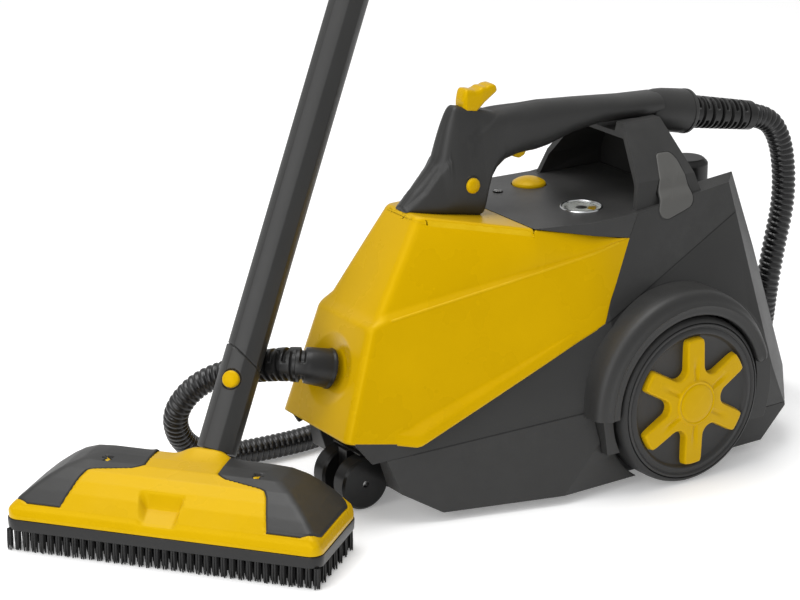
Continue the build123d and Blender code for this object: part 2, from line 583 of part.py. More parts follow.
# ---- floor brush and tube -----------------------------------------------------------------
def rounded_plate(length, width, z0, z1, radius, taper=0.0):
    """Plate with rounded corners, in the brush's own frame."""
    outline = Pos(0, 0, z0) * RectangleRounded(length, width, radius)
    return extrude(outline, z1 - z0, taper=taper)


def clamp_room(grow):
    """Room of one flap, on the right end of the brush; grow adds clearance."""
    z0, z1 = RIM_H + 2 - 2 * grow, TOP_H + 20
    tongue = box(CLAMP_X - 3 * grow, CLAMP_OUT + 5, -grow, CLAMP_Y[1] + grow, z0, z1)
    return tongue + box(CLAMP_OUT - grow, 150, CLAMP_Y[0] - grow, CLAMP_Y[1] + grow, z0, z1)


def make_brush():
    """Floor brush: bristles, base, housing, clamp flaps, neck hinge, collar, button and tube."""
    bristles = rounded_plate(BRUSH_L - 8, BRUSH_W - 8, 0, BRISTLE_H, 6)
    base = rounded_plate(BRUSH_L, BRUSH_W, BRISTLE_H, BAND_H, 10)
    rim = rounded_plate(BRUSH_L + 3, BRUSH_W + 3, BAND_H, RIM_H, 11, taper=14)
    crown = rounded_plate(BRUSH_L - 14, BRUSH_W - 12, RIM_H, TOP_H, 12, taper=24)
    housing = rim + crown
    flap_form = rounded_plate(BRUSH_L - 15, BRUSH_W - 13, RIM_H, TOP_H - 1, 12, taper=24)
    flap_room = clamp_room(GAP)
    flap = flap_form & clamp_room(0)
    pin_x, pin_z = CLAMP_HINGE
    pin = rod((pin_x, -4, pin_z), (pin_x, CLAMP_Y[1] + 1.5, pin_z), CLAMP_PIN_R)
    flap = flap - rod((pin_x, -60, pin_z), (pin_x, 60, pin_z), CLAMP_PIN_R + RUN_FIT)
    housing = housing - flap_room - mirror(flap_room, about=Plane.YZ)
    neck_x, neck_y, neck_z = NECK_AT
    neck_room = box(neck_x - 13, neck_x + 13, neck_y - 17, neck_y + 40, RIM_H - 6, 90)
    housing = housing - neck_room
    for side in (-1, 1):
        ear = box(neck_x + side * 17.5 - 3.9, neck_x + side * 17.5 + 3.9, neck_y - 10, neck_y + 4.5,
                  RIM_H - 5, neck_z + 8)
        housing = housing + ear
    hinge_line = ((neck_x - NECK_PIN_HALF, neck_y, neck_z), (neck_x + NECK_PIN_HALF, neck_y, neck_z))
    neck_pin = rod(*hinge_line, NECK_PIN_R)
    housing = housing - neck_pin
    pins = Compound([pin, mirror(pin, about=Plane.YZ)])
    housing = housing - pin - mirror(pin, about=Plane.YZ)

    straight = Location((neck_x, neck_y, neck_z), (-TUBE_LEAN, 0, 0))
    lean = straight * Location((0, 0, 0), (0, TUBE_SIDE, 0))
    button_z = TUBE_BUTTON_AT
    tube_start = COLLAR_START + COLLAR_L
    socket = rod((0, 0, COLLAR_START), (0, 0, COLLAR_START + 36), COLLAR_BORE - 0.3)
    barrel = straight * rod((-12, 0, 0), (12, 0, 0), 10)
    neck = barrel + lean * (rod((0, 0, 0), (0, 0, 34), 9.5) + socket)
    neck = neck - rod(*hinge_line, NECK_PIN_R + RUN_FIT)
    collar = pipe((0, 0, COLLAR_START), (0, 0, tube_start), TUBE_R, COLLAR_BORE)
    button_hole = rod((0, -30, button_z), (0, 0, button_z), TUBE_BUTTON_R + 0.3)
    collar = collar - button_hole
    button = rod((0, -TUBE_R - 2, button_z), (0, -COLLAR_BORE - 0.2, button_z), TUBE_BUTTON_R)
    tube = pipe((0, 0, tube_start), (0, 0, tube_start + TUBE_L), TUBE_R, TUBE_BORE)
    return {"brush_bristles": bristles, "brush_base": base, "brush_housing": housing,
            "clamp_right": flap, "clamp_left": mirror(flap, about=Plane.YZ), "clamp_pins": pins,
            "neck_pin": neck_pin, "neck": neck, "tube_collar": lean * collar,
            "tube_button": lean * button, "extension_tube": lean * tube}


# ---- put the machine together -------------------------------------------------------------
def add(shapes):
    """Collect shapes by node name."""
    for name, shape in shapes.items():
        parts[name] = shape


inset = window_panel(0.4)
inlet = pipe((140, INLET_Y, INLET_Z), (150, INLET_Y, INLET_Z), INLET_R - 0.3, 4.5)
lamp = rod((*LAMP_AT, DECK_Z - 8), (*LAMP_AT, DECK_Z + 1.2), LAMP_R - 0.3)
bush = pipe((0, WELL_Y - 8, WHEEL_R), (0, WELL_Y + 2.5, WHEEL_R), AXLE_R + 3.3, AXLE_R)
add({"front_shell": make_front_shell(), "upper_shell": make_upper_shell(),
     "lower_shell": make_lower_shell(), "base_tray": make_base_tray(), "deck_panel": make_deck(),
     "side_window_right": inset, "side_window_left": mirrored(inset), "mains_inlet": inlet,
     "ready_lamp": lamp, "axle_bushes": Compound([bush, mirrored(bush)]),
     "rear_axle": rod((0, -122, WHEEL_R), (0, 122, WHEEL_R), AXLE_R)})
add(make_gauge())
add(make_power_button())
add(make_boiler_group())
for kind, shape in make_wheel().items():
    add({kind + "_right": shape, kind + "_left": mirrored(shape)})
add(make_caster())
add(make_hose())
add(make_gun())
brush_place = Location((*BRUSH_AT, 0), (0, 0, BRUSH_TURN))
add({name: brush_place * shape for name, shape in make_brush().items()})

for name, shape in parts.items():
    export_step(Pos(ORIGIN_X, ORIGIN_Y, 0) * shape, f"parts/{name}.step")
print(len(parts), "nodes")
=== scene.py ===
# %% [markdown]
# # A canister steam cleaner, piece by piece
# The machine stands on a pale floor with its steam gun docked on top as a handle. A hose runs from its
# front round to the gun, and a floor brush with one extension tube stands in front. The CAD part gives
# every piece its place and size. This lesson gives the pieces their moulded forms, their fine detail and
# their finishes. Shape numbers are millimetres in the machine's own frame: X runs towards the back, Y
# across, Z up.

# %% Load the CAD frame and keep its size
import json
from math import radians

import bmesh
import bpy
import numpy as np
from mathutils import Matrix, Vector

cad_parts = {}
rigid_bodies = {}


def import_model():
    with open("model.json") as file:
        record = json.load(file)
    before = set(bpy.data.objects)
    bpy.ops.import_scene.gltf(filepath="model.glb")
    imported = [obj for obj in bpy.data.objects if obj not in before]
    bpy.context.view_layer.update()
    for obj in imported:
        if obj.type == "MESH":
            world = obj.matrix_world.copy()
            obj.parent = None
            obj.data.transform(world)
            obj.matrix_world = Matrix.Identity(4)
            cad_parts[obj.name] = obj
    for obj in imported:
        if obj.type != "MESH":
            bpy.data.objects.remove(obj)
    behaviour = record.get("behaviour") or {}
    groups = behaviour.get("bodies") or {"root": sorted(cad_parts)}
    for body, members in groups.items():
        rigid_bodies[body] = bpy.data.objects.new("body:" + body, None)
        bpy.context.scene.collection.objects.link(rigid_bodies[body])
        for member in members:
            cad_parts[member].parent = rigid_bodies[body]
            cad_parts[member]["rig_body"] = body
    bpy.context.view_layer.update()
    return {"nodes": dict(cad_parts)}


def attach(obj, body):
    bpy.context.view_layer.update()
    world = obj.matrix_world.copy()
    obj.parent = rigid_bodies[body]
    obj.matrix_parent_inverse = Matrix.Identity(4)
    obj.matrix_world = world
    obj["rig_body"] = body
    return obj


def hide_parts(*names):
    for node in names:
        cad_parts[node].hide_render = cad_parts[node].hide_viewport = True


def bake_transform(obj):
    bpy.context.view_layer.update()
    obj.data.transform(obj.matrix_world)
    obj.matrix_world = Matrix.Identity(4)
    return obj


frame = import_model()
MACHINE_AT = np.array([196.0, 3.4, 0.0])      # the machine's own origin, in the shared frame


def in_row(points):
    """Machine millimetres to metres in the shared frame: add the machine's place, divide by 1000."""
    return (np.asarray(points, float) + MACHINE_AT) / 1000


# %% [markdown]
# ## The camera
# The view is a long lens at about waist height, ahead of the machine's left front corner. A long lens keeps
# the brush in front and the wheels behind in proportion.

# %% Camera
camera_data = bpy.data.cameras.new("studio_camera")
camera_data.lens, camera_data.sensor_width = 130.1, 36.0
camera_data.clip_end = 50
camera = bpy.data.objects.new("studio_camera", camera_data)
camera.location = (-1.29484, -1.93129, 0.95808)
camera.rotation_euler = (radians(71.24), 0, radians(-33.35))
bpy.context.scene.collection.objects.link(camera)
bpy.context.scene.camera = camera
print("camera", tuple(round(v, 3) for v in camera.location))

# %% [markdown]
# ## Floor and light
# Product light is wide and soft: a big panel above, a second one beside the camera, and a bright
# surrounding that shows in the glossy yellow. The floor is one large pale sheet, so the shadows under the
# wheels stay soft.

# %% Floor, surroundings and lamps
def node_add(tree, kind, **values):
    """Add a shader node and set its attributes."""
    node = tree.nodes.new("ShaderNode" + kind)
    for name, value in values.items():
        setattr(node, name, value)
    return node


def feed(tree, target, value):
    """Connect an output socket to an input, or write a plain number there."""
    if isinstance(value, bpy.types.NodeSocket):
        tree.links.new(value, target)
    else:
        target.default_value = value


def new_material(name):
    """A material with only a Principled shader; gives the material, its tree and the shader."""
    material = bpy.data.materials.new(name)
    material.use_nodes = True
    return material, material.node_tree, material.node_tree.nodes["Principled BSDF"]


FLOOR_HALF = 6.0                              # metres from the middle to each edge
floor_mesh = bpy.data.meshes.new("studio_floor")
floor_mesh.from_pydata([(-FLOOR_HALF, -FLOOR_HALF, 0), (FLOOR_HALF, -FLOOR_HALF, 0),
                        (FLOOR_HALF, FLOOR_HALF, 0), (-FLOOR_HALF, FLOOR_HALF, 0)], [], [(0, 1, 2, 3)])
floor = bpy.data.objects.new("studio_floor", floor_mesh)
bpy.context.scene.collection.objects.link(floor)
floor_paint, _, floor_shader = new_material("pale_floor")
floor_shader.inputs["Base Color"].default_value = (0.93, 0.93, 0.93, 1)
floor_shader.inputs["Roughness"].default_value = 0.55
floor_shader.inputs["Emission Color"].default_value = (1, 1, 1, 1)
floor_shader.inputs["Emission Strength"].default_value = 0.22
floor_mesh.materials.append(floor_paint)

world = bpy.data.worlds.new("studio_world")
world.use_nodes = True
world.node_tree.nodes["Background"].inputs["Color"].default_value = (1, 1, 1, 1)
world.node_tree.nodes["Background"].inputs["Strength"].default_value = 0.60
bpy.context.scene.world = world
bpy.context.scene.view_settings.view_transform = "Standard"


def soft_panel(name, place, aim, size, power):
    """A square lamp at a place; its beam, along -Z, is turned to face a point."""
    data = bpy.data.lights.new(name, "AREA")
    data.size, data.energy = size, power
    lamp = bpy.data.objects.new(name, data)
    lamp.location = place
    lamp.rotation_euler = Vector(np.subtract(aim, place)).to_track_quat("-Z", "Y").to_euler()
    bpy.context.scene.collection.objects.link(lamp)


soft_panel("top_panel", (-0.3, 0.3, 2.2), (0, 0, 0.1), 1.6, 34)
soft_panel("front_panel", (-2.4, -0.4, 1.6), (0, 0, 0.15), 1.4, 18)
soft_panel("fill_panel", (-2.2, -1.5, 0.8), (0, 0, 0.15), 1.2, 15)
print("floor and lamps ready")

# %% [markdown]
# ## Finishes
# Moulded plastic is never one flat colour: it has a fine grain, tiny differences in gloss, brighter worn
# edges that also serve as a painted edge highlight, and a little dust on what faces up. Each effect is a
# node group that any finish can take with its own values.

# %% Node groups shared by the finishes
def shader_group(name, inputs, outputs):
    """An empty node group with named sockets; inputs are {label: (type, default)}, outputs {label: type}."""
    tree = bpy.data.node_groups.new(name, "ShaderNodeTree")
    for label, (kind, default) in inputs.items():
        socket = tree.interface.new_socket(label, in_out="INPUT", socket_type="NodeSocket" + kind)
        socket.default_value = default
    for label, kind in outputs.items():
        tree.interface.new_socket(label, in_out="OUTPUT", socket_type="NodeSocket" + kind)
    start, end = tree.nodes.new("NodeGroupInput"), tree.nodes.new("NodeGroupOutput")
    return tree, start, end


def calculate(tree, operation, a, b=0.0, clamp=False):
    """One math node on two values; gives its output."""
    node = node_add(tree, "Math", operation=operation, use_clamp=clamp)
    feed(tree, node.inputs[0], a)
    feed(tree, node.inputs[1], b)
    return node.outputs[0]


def noise(tree, scale, detail=2.0, roughness=0.5):
    """Noise on object coordinates; gives its value."""
    place = node_add(tree, "TexCoord")
    texture = node_add(tree, "TexNoise")
    tree.links.new(place.outputs["Object"], texture.inputs["Vector"])
    feed(tree, texture.inputs["Scale"], scale)
    texture.inputs["Detail"].default_value = detail
    texture.inputs["Roughness"].default_value = roughness
    return texture.outputs["Fac"]


def ramp(tree, value, low, high, to_low=0.0, to_high=1.0):
    """Map a value from one range to another and clamp it."""
    node = node_add(tree, "MapRange", clamp=True)
    feed(tree, node.inputs["Value"], value)
    for label, number in (("From Min", low), ("From Max", high), ("To Min", to_low), ("To Max", to_high)):
        feed(tree, node.inputs[label], number)
    return node.outputs["Result"]


def mould_grain():
    """Fine spark-eroded grain with broader clouds of gloss; puts out a height and a mottle value."""
    tree, start, end = shader_group("mould grain", {"Scale": ("Float", 900.0), "Cloud Scale": ("Float", 14.0)},
                                    {"Height": "Float", "Mottle": "Float"})
    fine = noise(tree, start.outputs["Scale"], 3.0, 0.6)
    tree.links.new(fine, end.inputs["Height"])
    tree.links.new(noise(tree, start.outputs["Cloud Scale"], 4.0, 0.55), end.inputs["Mottle"])
    return tree


def edge_wear_and_highlight():
    """Rubbed convex edges that also carry a painted highlight: the geometry's pointiness above flat, broken up
    by noise.
    """
    tree, start, end = shader_group("edge wear and highlight", {"Amount": ("Float", 0.5)}, {"Mask": "Float"})
    geometry = node_add(tree, "NewGeometry")
    sharp = ramp(tree, geometry.outputs["Pointiness"], 0.515, 0.60)
    patchy = ramp(tree, noise(tree, 60.0, 5.0, 0.7), 0.35, 0.65, 0.35, 1.0)
    mask = calculate(tree, "MULTIPLY", calculate(tree, "MULTIPLY", sharp, patchy), start.outputs["Amount"])
    tree.links.new(mask, end.inputs["Mask"])
    return tree


def settled_dust():
    """Thin dust: how far the surface faces up, times soft noise."""
    tree, start, end = shader_group("settled dust", {"Amount": ("Float", 0.1)}, {"Mask": "Float"})
    geometry = node_add(tree, "NewGeometry")
    split = node_add(tree, "SeparateXYZ")
    tree.links.new(geometry.outputs["Normal"], split.inputs[0])
    upward = ramp(tree, split.outputs["Z"], 0.3, 1.0)
    patchy = ramp(tree, noise(tree, 25.0, 6.0, 0.65), 0.3, 0.8)
    mask = calculate(tree, "MULTIPLY", calculate(tree, "MULTIPLY", upward, patchy), start.outputs["Amount"])
    tree.links.new(mask, end.inputs["Mask"])
    return tree


GRAIN, WEAR_AND_HIGHLIGHT, DUST = mould_grain(), edge_wear_and_highlight(), settled_dust()
print("node groups:", GRAIN.name, WEAR_AND_HIGHLIGHT.name, DUST.name)


# %% One recipe for every plastic, rubber and metal finish
def use_group(tree, group, **inputs):
    """Place a node group and set its inputs; underscores in a name stand for spaces."""
    node = tree.nodes.new("ShaderNodeGroup")
    node.node_tree = group
    for label, value in inputs.items():
        feed(tree, node.inputs[label.replace("_", " ")], value)
    return node


def blend_colour(tree, mask, a, b):
    """Mix two colours by a mask; each colour is a socket or a triple."""
    node = node_add(tree, "Mix", data_type="RGBA")
    feed(tree, node.inputs["Factor"], mask)
    for socket, colour in ((node.inputs[6], a), (node.inputs[7], b)):
        feed(tree, socket, colour if isinstance(colour, bpy.types.NodeSocket) else (*colour, 1))
    return node.outputs[2]


FINISHES = {}
DUST_GREY = (0.5, 0.49, 0.46)
GRAIN_HEIGHT = 0.0004                        # metres from the lowest to the highest grain


def finish(name, colour, rough, grain=900.0, bump=0.08, mottle=0.06, wear_and_highlight=0.3, worn_and_lit_edge=None, dust=0.05,
           metallic=0.0, specular=0.5, tint=(1, 1, 1), spread=0.06):
    """A moulded or machined finish: a colour that clouds a little, edges brightened as wear and as a painted
    highlight, dust, grain in the bump.
    """
    material, tree, shader = new_material(name)
    grained = use_group(tree, GRAIN, Scale=grain)
    cloud = grained.outputs["Mottle"]
    deep = tuple(c * (1 - spread) for c in colour)
    pale = tuple(min(1.0, c * (1 + spread)) for c in colour)
    base = blend_colour(tree, ramp(tree, cloud, 0.35, 0.65), deep, pale)
    # convex edges take a lighter copy of the colour: partly real wear, partly a painted highlight where edges
    # catch the light
    worn_and_lit_edge = worn_and_lit_edge or tuple(min(1.0, c * 1.6 + 0.02) for c in colour)
    base = blend_colour(tree, use_group(tree, WEAR_AND_HIGHLIGHT, Amount=wear_and_highlight).outputs["Mask"], base, worn_and_lit_edge)
    base = blend_colour(tree, use_group(tree, DUST, Amount=dust).outputs["Mask"], base, DUST_GREY)
    tree.links.new(base, shader.inputs["Base Color"])
    tree.links.new(ramp(tree, cloud, 0.3, 0.7, rough - mottle, rough + mottle), shader.inputs["Roughness"])
    bumped = node_add(tree, "Bump")
    bumped.inputs["Strength"].default_value = bump
    bumped.inputs["Distance"].default_value = GRAIN_HEIGHT
    tree.links.new(grained.outputs["Height"], bumped.inputs["Height"])
    tree.links.new(bumped.outputs["Normal"], shader.inputs["Normal"])
    shader.inputs["Metallic"].default_value = metallic
    shader.inputs["Specular IOR Level"].default_value = specular
    shader.inputs["Specular Tint"].default_value = (*tint, 1)
    FINISHES[name] = material


# the lighter edge colour and its amount in each finish below stand partly for wear and partly for a painted
# edge highlight
finish("yellow_gloss", (0.52, 0.312, 0.0), 0.29, grain=420, bump=0.10, wear_and_highlight=0.25, worn_and_lit_edge=(0.75, 0.55, 0.04),
       dust=0.02, specular=0.42, tint=(1.0, 0.72, 0.05), spread=0.03)
finish("charcoal_shell", (0.0195, 0.0195, 0.019), 0.44, grain=1500, bump=0.30, wear_and_highlight=0.30, dust=0.03,
       specular=0.38)
finish("charcoal_deck", (0.025, 0.025, 0.0245), 0.40, grain=1500, bump=0.28, wear_and_highlight=0.3, dust=0.04,
       specular=0.4)
finish("black_satin", (0.008, 0.008, 0.008), 0.36, grain=1200, bump=0.12, wear_and_highlight=0.3, dust=0.03, specular=0.35)
finish("hose_gloss", (0.006, 0.006, 0.0065), 0.26, grain=700, bump=0.10, wear_and_highlight=0.45, worn_and_lit_edge=(0.035, 0.035, 0.035),
       dust=0.02, specular=0.5)
finish("tyre_rubber", (0.017, 0.017, 0.017), 0.52, grain=1300, bump=0.35, wear_and_highlight=0.2, dust=0.06, specular=0.35)
finish("disc_dark", (0.018, 0.018, 0.018), 0.42, grain=1400, bump=0.25, wear_and_highlight=0.3, dust=0.04, specular=0.38)
finish("window_grey", (0.075, 0.074, 0.070), 0.48, grain=1600, bump=0.25, wear_and_highlight=0.4, dust=0.02, specular=0.4)
finish("caster_black", (0.005, 0.005, 0.005), 0.33, grain=900, bump=0.08, wear_and_highlight=0.2, dust=0.06, specular=0.3)
finish("bristle_black", (0.006, 0.006, 0.006), 0.42, grain=2500, bump=0.15, wear_and_highlight=0.3, dust=0.02, specular=0.3)
finish("bright_bezel", (0.62, 0.63, 0.64), 0.22, grain=1800, bump=0.05, wear_and_highlight=0.1, metallic=1.0, dust=0.02)
finish("plain_steel", (0.50, 0.50, 0.50), 0.32, grain=1800, bump=0.10, wear_and_highlight=0.2, metallic=1.0)
finish("warm_brass", (0.55, 0.38, 0.15), 0.35, grain=1500, bump=0.12, wear_and_highlight=0.3, metallic=1.0)
finish("board_green", (0.02, 0.11, 0.05), 0.45, grain=900, bump=0.10)
finish("dial_white", (0.78, 0.78, 0.74), 0.45, grain=1200, bump=0.03, wear_and_highlight=0.0, dust=0.0)
finish("needle_dark", (0.02, 0.02, 0.02), 0.4, grain=1200, bump=0.05, wear_and_highlight=0.1)
print("finishes:", len(FINISHES))


# %% Clear glass for the gauge and the lamp
def clear_finish(name, colour, rough):
    """Clear moulded plastic or glass, with faint wipe marks in its gloss."""
    material, tree, shader = new_material(name)
    grained = use_group(tree, GRAIN, Scale=300.0)
    shader.inputs["Base Color"].default_value = (*colour, 1)
    shader.inputs["Transmission Weight"].default_value = 1.0
    shader.inputs["IOR"].default_value = 1.46
    tree.links.new(ramp(tree, grained.outputs["Mottle"], 0.3, 0.7, rough, rough + 0.08),
                   shader.inputs["Roughness"])
    FINISHES[name] = material


clear_finish("clear_lens", (0.97, 0.98, 0.98), 0.02)
clear_finish("lamp_lens", (0.75, 0.75, 0.72), 0.12)

# %% [markdown]
# ## Turning arrays into pieces
# Every new piece is a grid of points worked out with numpy. These helpers number the grid's faces, hand the
# arrays to Blender and fix the piece to the CAD body that it moves with.

# %% Helpers that turn arrays into pieces
def grid_faces(rows, columns, close_rows=False, close_columns=False, start=0):
    """Corner numbers of all quads of a rows x columns grid; a closed direction wraps round."""
    r = np.arange(rows if close_rows else rows - 1)
    c = np.arange(columns if close_columns else columns - 1)
    r, c = [a.ravel() for a in np.meshgrid(r, c, indexing="ij")]
    r2, c2 = (r + 1) % rows, (c + 1) % columns
    return start + np.stack([r * columns + c, r * columns + c2, r2 * columns + c2, r2 * columns + c], 1)


def make_mesh(name, points, faces, finishes, face_finish=None, smooth=35.0):
    """A mesh from machine millimetres; doubles are merged, normals face out, edges above smooth stay sharp."""
    mesh = bpy.data.meshes.new(name)
    mesh.from_pydata(in_row(points).tolist(), [], [tuple(int(i) for i in f) for f in faces])
    for item in [finishes] if isinstance(finishes, str) else finishes:
        mesh.materials.append(FINISHES[item])
    if face_finish is not None:
        mesh.polygons.foreach_set("material_index", np.asarray(face_finish, np.int32))
    work = bmesh.new()
    work.from_mesh(mesh)
    bmesh.ops.remove_doubles(work, verts=work.verts, dist=2e-6)
    bmesh.ops.dissolve_degenerate(work, edges=work.edges, dist=1e-6)
    bmesh.ops.recalc_face_normals(work, faces=work.faces)
    work.to_mesh(mesh)
    work.free()
    mesh.shade_smooth()
    if smooth < 180:
        mesh.set_sharp_from_angle(angle=radians(smooth))
    return mesh


def place_piece(name, mesh, body, replaces=()):
    """Show a mesh as a piece that rides on a CAD body and stands for CAD nodes."""
    piece = bpy.data.objects.new(name, mesh)
    bpy.context.scene.collection.objects.link(piece)
    if body:
        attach(piece, body)
    if replaces:
        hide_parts(*([replaces] if isinstance(replaces, str) else replaces))
    return piece


def gather(*patches):
    """Join (points, faces) patches into one pair of arrays."""
    points, faces, start = [], [], 0
    for patch_points, patch_faces in patches:
        points.append(np.reshape(patch_points, (-1, 3)))
        for block in patch_faces:
            faces += (np.asarray(block) + start).tolist()
        start += len(points[-1])
    return np.concatenate(points), faces


BEVEL_ANGLE = radians(28.0)                  # edges that turn by less stay as they are


def softened(node, width, finish_name):
    """A copy of a CAD node with merged corners and a small rounded bevel along its edges."""
    source = frame["nodes"][node]
    mesh = source.data.copy()
    mesh.materials.clear()
    mesh.materials.append(FINISHES[finish_name])
    work = bmesh.new()
    work.from_mesh(mesh)
    bmesh.ops.remove_doubles(work, verts=work.verts, dist=1e-6)
    bmesh.ops.dissolve_limit(work, angle_limit=radians(0.6), verts=work.verts, edges=work.edges)
    work.to_mesh(mesh)
    work.free()
    mesh.shade_smooth()
    mesh.set_sharp_from_angle(angle=BEVEL_ANGLE)
    piece = place_piece(node + "_skin", mesh, source["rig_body"], node)
    bevel = piece.modifiers.new("soft_edges", "BEVEL")
    bevel.width, bevel.segments, bevel.limit_method = width / 1000, 2, "ANGLE"
    bevel.angle_limit = BEVEL_ANGLE


def dress(node, finish_name):
    """Give a CAD node that is shown as it is its finish."""
    source = frame["nodes"][node]
    source.data.materials.clear()
    source.data.materials.append(FINISHES[finish_name])


print("helpers ready")

# %% [markdown]
# ## The steam hose
# A steam hose is a soft tube with a stiff spiral wound round it, so its skin is a row of rounded ridges
# with narrow valleys. It leaves the sleeve on the front, drops in front of the machine, lies on the floor
# along the far side, and climbs at the back to the gun. The route is a smooth curve through control points;
# the tube is a circle whose radius swells once per ridge as it is carried along that curve.

# %% The hose's route
HOSE_ROUTE = [
    (-337, 42.5, 122), (-350, 62, 115.5), (-373, 79, 102), (-387, 92, 77), (-377, 106, 48),
    (-353, 117, 24), (-322, 121, 12.4), (-285, 118, 11.6), (-235, 117, 11.6),
    (-165, 136, 11.6), (-80, 174, 11.6), (30, 204, 11.6), (120, 206, 11.6),
    (184, 180, 11.6), (214, 128, 11.6), (216, 76, 14), (207, 38, 32),
    (195, 12, 66), (188, 0, 104), (195, 0, 146), (204, 0, 184), (204, 0, 218),
    (197, 0, 251), (180.5, 0, 273), (160.5, 0, 277)]
HOSE_R, VALLEY_R = 11.0, 8.9                 # radius over a ridge, and between two
RIDGE_PITCH = 5.5


def smooth_route(control, name):
    """Points of the quadratic NURBS through control points, in machine millimetres."""
    curve = bpy.data.curves.new(name, "CURVE")
    curve.dimensions = "3D"
    spline = curve.splines.new("NURBS")
    spline.points.add(len(control) - 1)
    flat = np.concatenate([in_row(control), np.ones((len(control), 1))], axis=1)
    spline.points.foreach_set("co", flat.ravel())
    spline.order_u = 3
    spline.use_endpoint_u = True
    spline.resolution_u = 24
    guide = bpy.data.objects.new(name, curve)
    bpy.context.scene.collection.objects.link(guide)
    bpy.context.view_layer.update()
    mesh = bpy.data.meshes.new_from_object(guide)
    points = np.zeros(len(mesh.vertices) * 3)
    mesh.vertices.foreach_get("co", points)
    bpy.data.objects.remove(guide)
    bpy.data.meshes.remove(mesh)
    return points.reshape(-1, 3) * 1000 - MACHINE_AT


def resample(points, step):
    """The same line with evenly spaced points, about one per step; gives points and arc lengths."""
    run = np.concatenate([[0], np.cumsum(np.linalg.norm(np.diff(points, axis=0), axis=1))])
    even = np.linspace(0, run[-1], int(round(run[-1] / step)) + 1)
    return np.stack([np.interp(even, run, points[:, k]) for k in range(3)], 1), even


def frames_along(points):
    """Tangent and two crosswise directions at each point, carried along without twist."""
    tangent = np.gradient(points, axis=0)
    tangent /= np.linalg.norm(tangent, axis=1)[:, None]
    across = np.zeros_like(points)
    guess = np.array([0.0, 0.0, 1.0]) if abs(tangent[0, 2]) < 0.9 else np.array([1.0, 0.0, 0.0])
    for k, t in enumerate(tangent):
        guess = guess - t * (guess @ t)
        guess /= np.linalg.norm(guess)
        across[k] = guess
    return tangent, across, np.cross(tangent, across)


def tube_surface(points, radius, around):
    """A circle of the given radius, which may vary along and around, carried along the points."""
    _, across, third = frames_along(points)
    angle = np.linspace(0, 2 * np.pi, around, endpoint=False)
    ring = across[:, None] * np.cos(angle)[:, None] + third[:, None] * np.sin(angle)[:, None]
    return points[:, None] + ring * np.broadcast_to(radius, (len(points), around))[..., None]


def capped_tube(surface):
    """Points and faces of a tube surface with a fan cap on each end."""
    rows, columns = surface.shape[:2]
    centres = np.stack([surface[0].mean(0), surface[-1].mean(0)])
    faces = grid_faces(rows, columns, close_columns=True).tolist()
    k = np.arange(columns)
    k2 = (k + 1) % columns
    first, last = rows * columns, rows * columns + 1
    faces += np.stack([np.full(columns, first), k2, k], 1).tolist()
    edge = (rows - 1) * columns
    faces += np.stack([np.full(columns, last), edge + k, edge + k2], 1).tolist()
    return np.concatenate([surface.reshape(-1, 3), centres]), faces


route = smooth_route(HOSE_ROUTE, "hose_route")
hose_line, hose_run = resample(route, RIDGE_PITCH / 9)
print("hose length", round(hose_run[-1], 1), "mm,", round(hose_run[-1] / RIDGE_PITCH), "ridges")

# %% The hose's ridged skin
AROUND = 20
turn = np.arange(AROUND) / AROUND
phase = hose_run[:, None] / RIDGE_PITCH + turn[None, :]
swell = np.abs(np.cos(np.pi * phase)) ** 0.7
hose_skin = tube_surface(hose_line, VALLEY_R + (HOSE_R - VALLEY_R) * swell, AROUND)
hose_mesh = make_mesh("steam_hose", *capped_tube(hose_skin), "hose_gloss", smooth=180)
hose = place_piece("steam_hose", hose_mesh, None, "hose")
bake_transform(hose)
print("hose faces", len(hose_mesh.polygons))

# %% [markdown]
# ## The yellow front cover
# The cover is one moulding of large, slightly twisted facets with soft corners. It could be modelled by
# hand, but its seams and ledges are easier to keep straight when the whole housing is a formula. Here a
# point is inside while every facet's value is negative, and neighbouring facets are joined with a soft
# maximum, which rounds the corner. Rays then start on a spine inside the housing and find the skin by
# halving their length again and again.

# %% The housing's facets as formulas
def soft_max(a, b, k):
    """Larger of two values, rounded where they are closer than k: max + k/4 (1 - |a - b| / k) squared."""
    near = np.clip(1 - np.abs(a - b) / k, 0, 1)
    return np.maximum(a, b) + 0.25 * k * near * near


FRONT_PLANE = (141.38, 0.25089, -0.1791)     # half width at the origin, its change per mm back, and up
REAR_PLANE = (126.3, -0.04, -0.2092)


def plane_half(plane, x, z):
    """Half width of a flat side facet."""
    return plane[0] + plane[1] * x + plane[2] * z


def flank(x, z):
    """Half width of the lower side: the smaller of the front and rear facets, with a soft change."""
    return -soft_max(-plane_half(FRONT_PLANE, x, z), -plane_half(REAR_PLANE, x, z), 5.0)


TIP_X, TIP_Z = -38.0, 217.0                  # the cover ends in a point under the deck
DECK_X, DECK_Z, DECK_HALF = -127.0, 236.0, 67.0     # front edge of the deck, and its half width
HOOD_FALL = 0.1685                           # mm down for each mm back
TIP_Y = flank(TIP_X, TIP_Z)


def hood_z(x):
    """Height of the hood: it falls from 251 at the front to the deck's 236."""
    return DECK_Z - HOOD_FALL * (x - DECK_X)


def rim_z(x):
    """Height of the cover's top edge: the hood in front, the deck's side band behind."""
    return np.where(x < DECK_X, hood_z(x), DECK_Z + (x - DECK_X) * (TIP_Z - DECK_Z) / (TIP_X - DECK_X))


def rim_half(x):
    """Half width along the top edge."""
    behind = DECK_HALF + (x - DECK_X) * (TIP_Y - DECK_HALF) / (TIP_X - DECK_X)
    return np.where(x < DECK_X, 24 + 0.4831 * (x + 216), behind)


SHOULDER_X, SHOULDER_Z = -271.0, 169.5       # where the crease starts, at the nose
CREASE_RISE = 0.2039                         # mm up for each mm back
LEDGE_HIGH, LEDGE_DEEP = 6.0, 6.3            # the ledge over the crease, up and inwards
UPPER_FULL = 6.0                             # four times how far the upper facet bulges


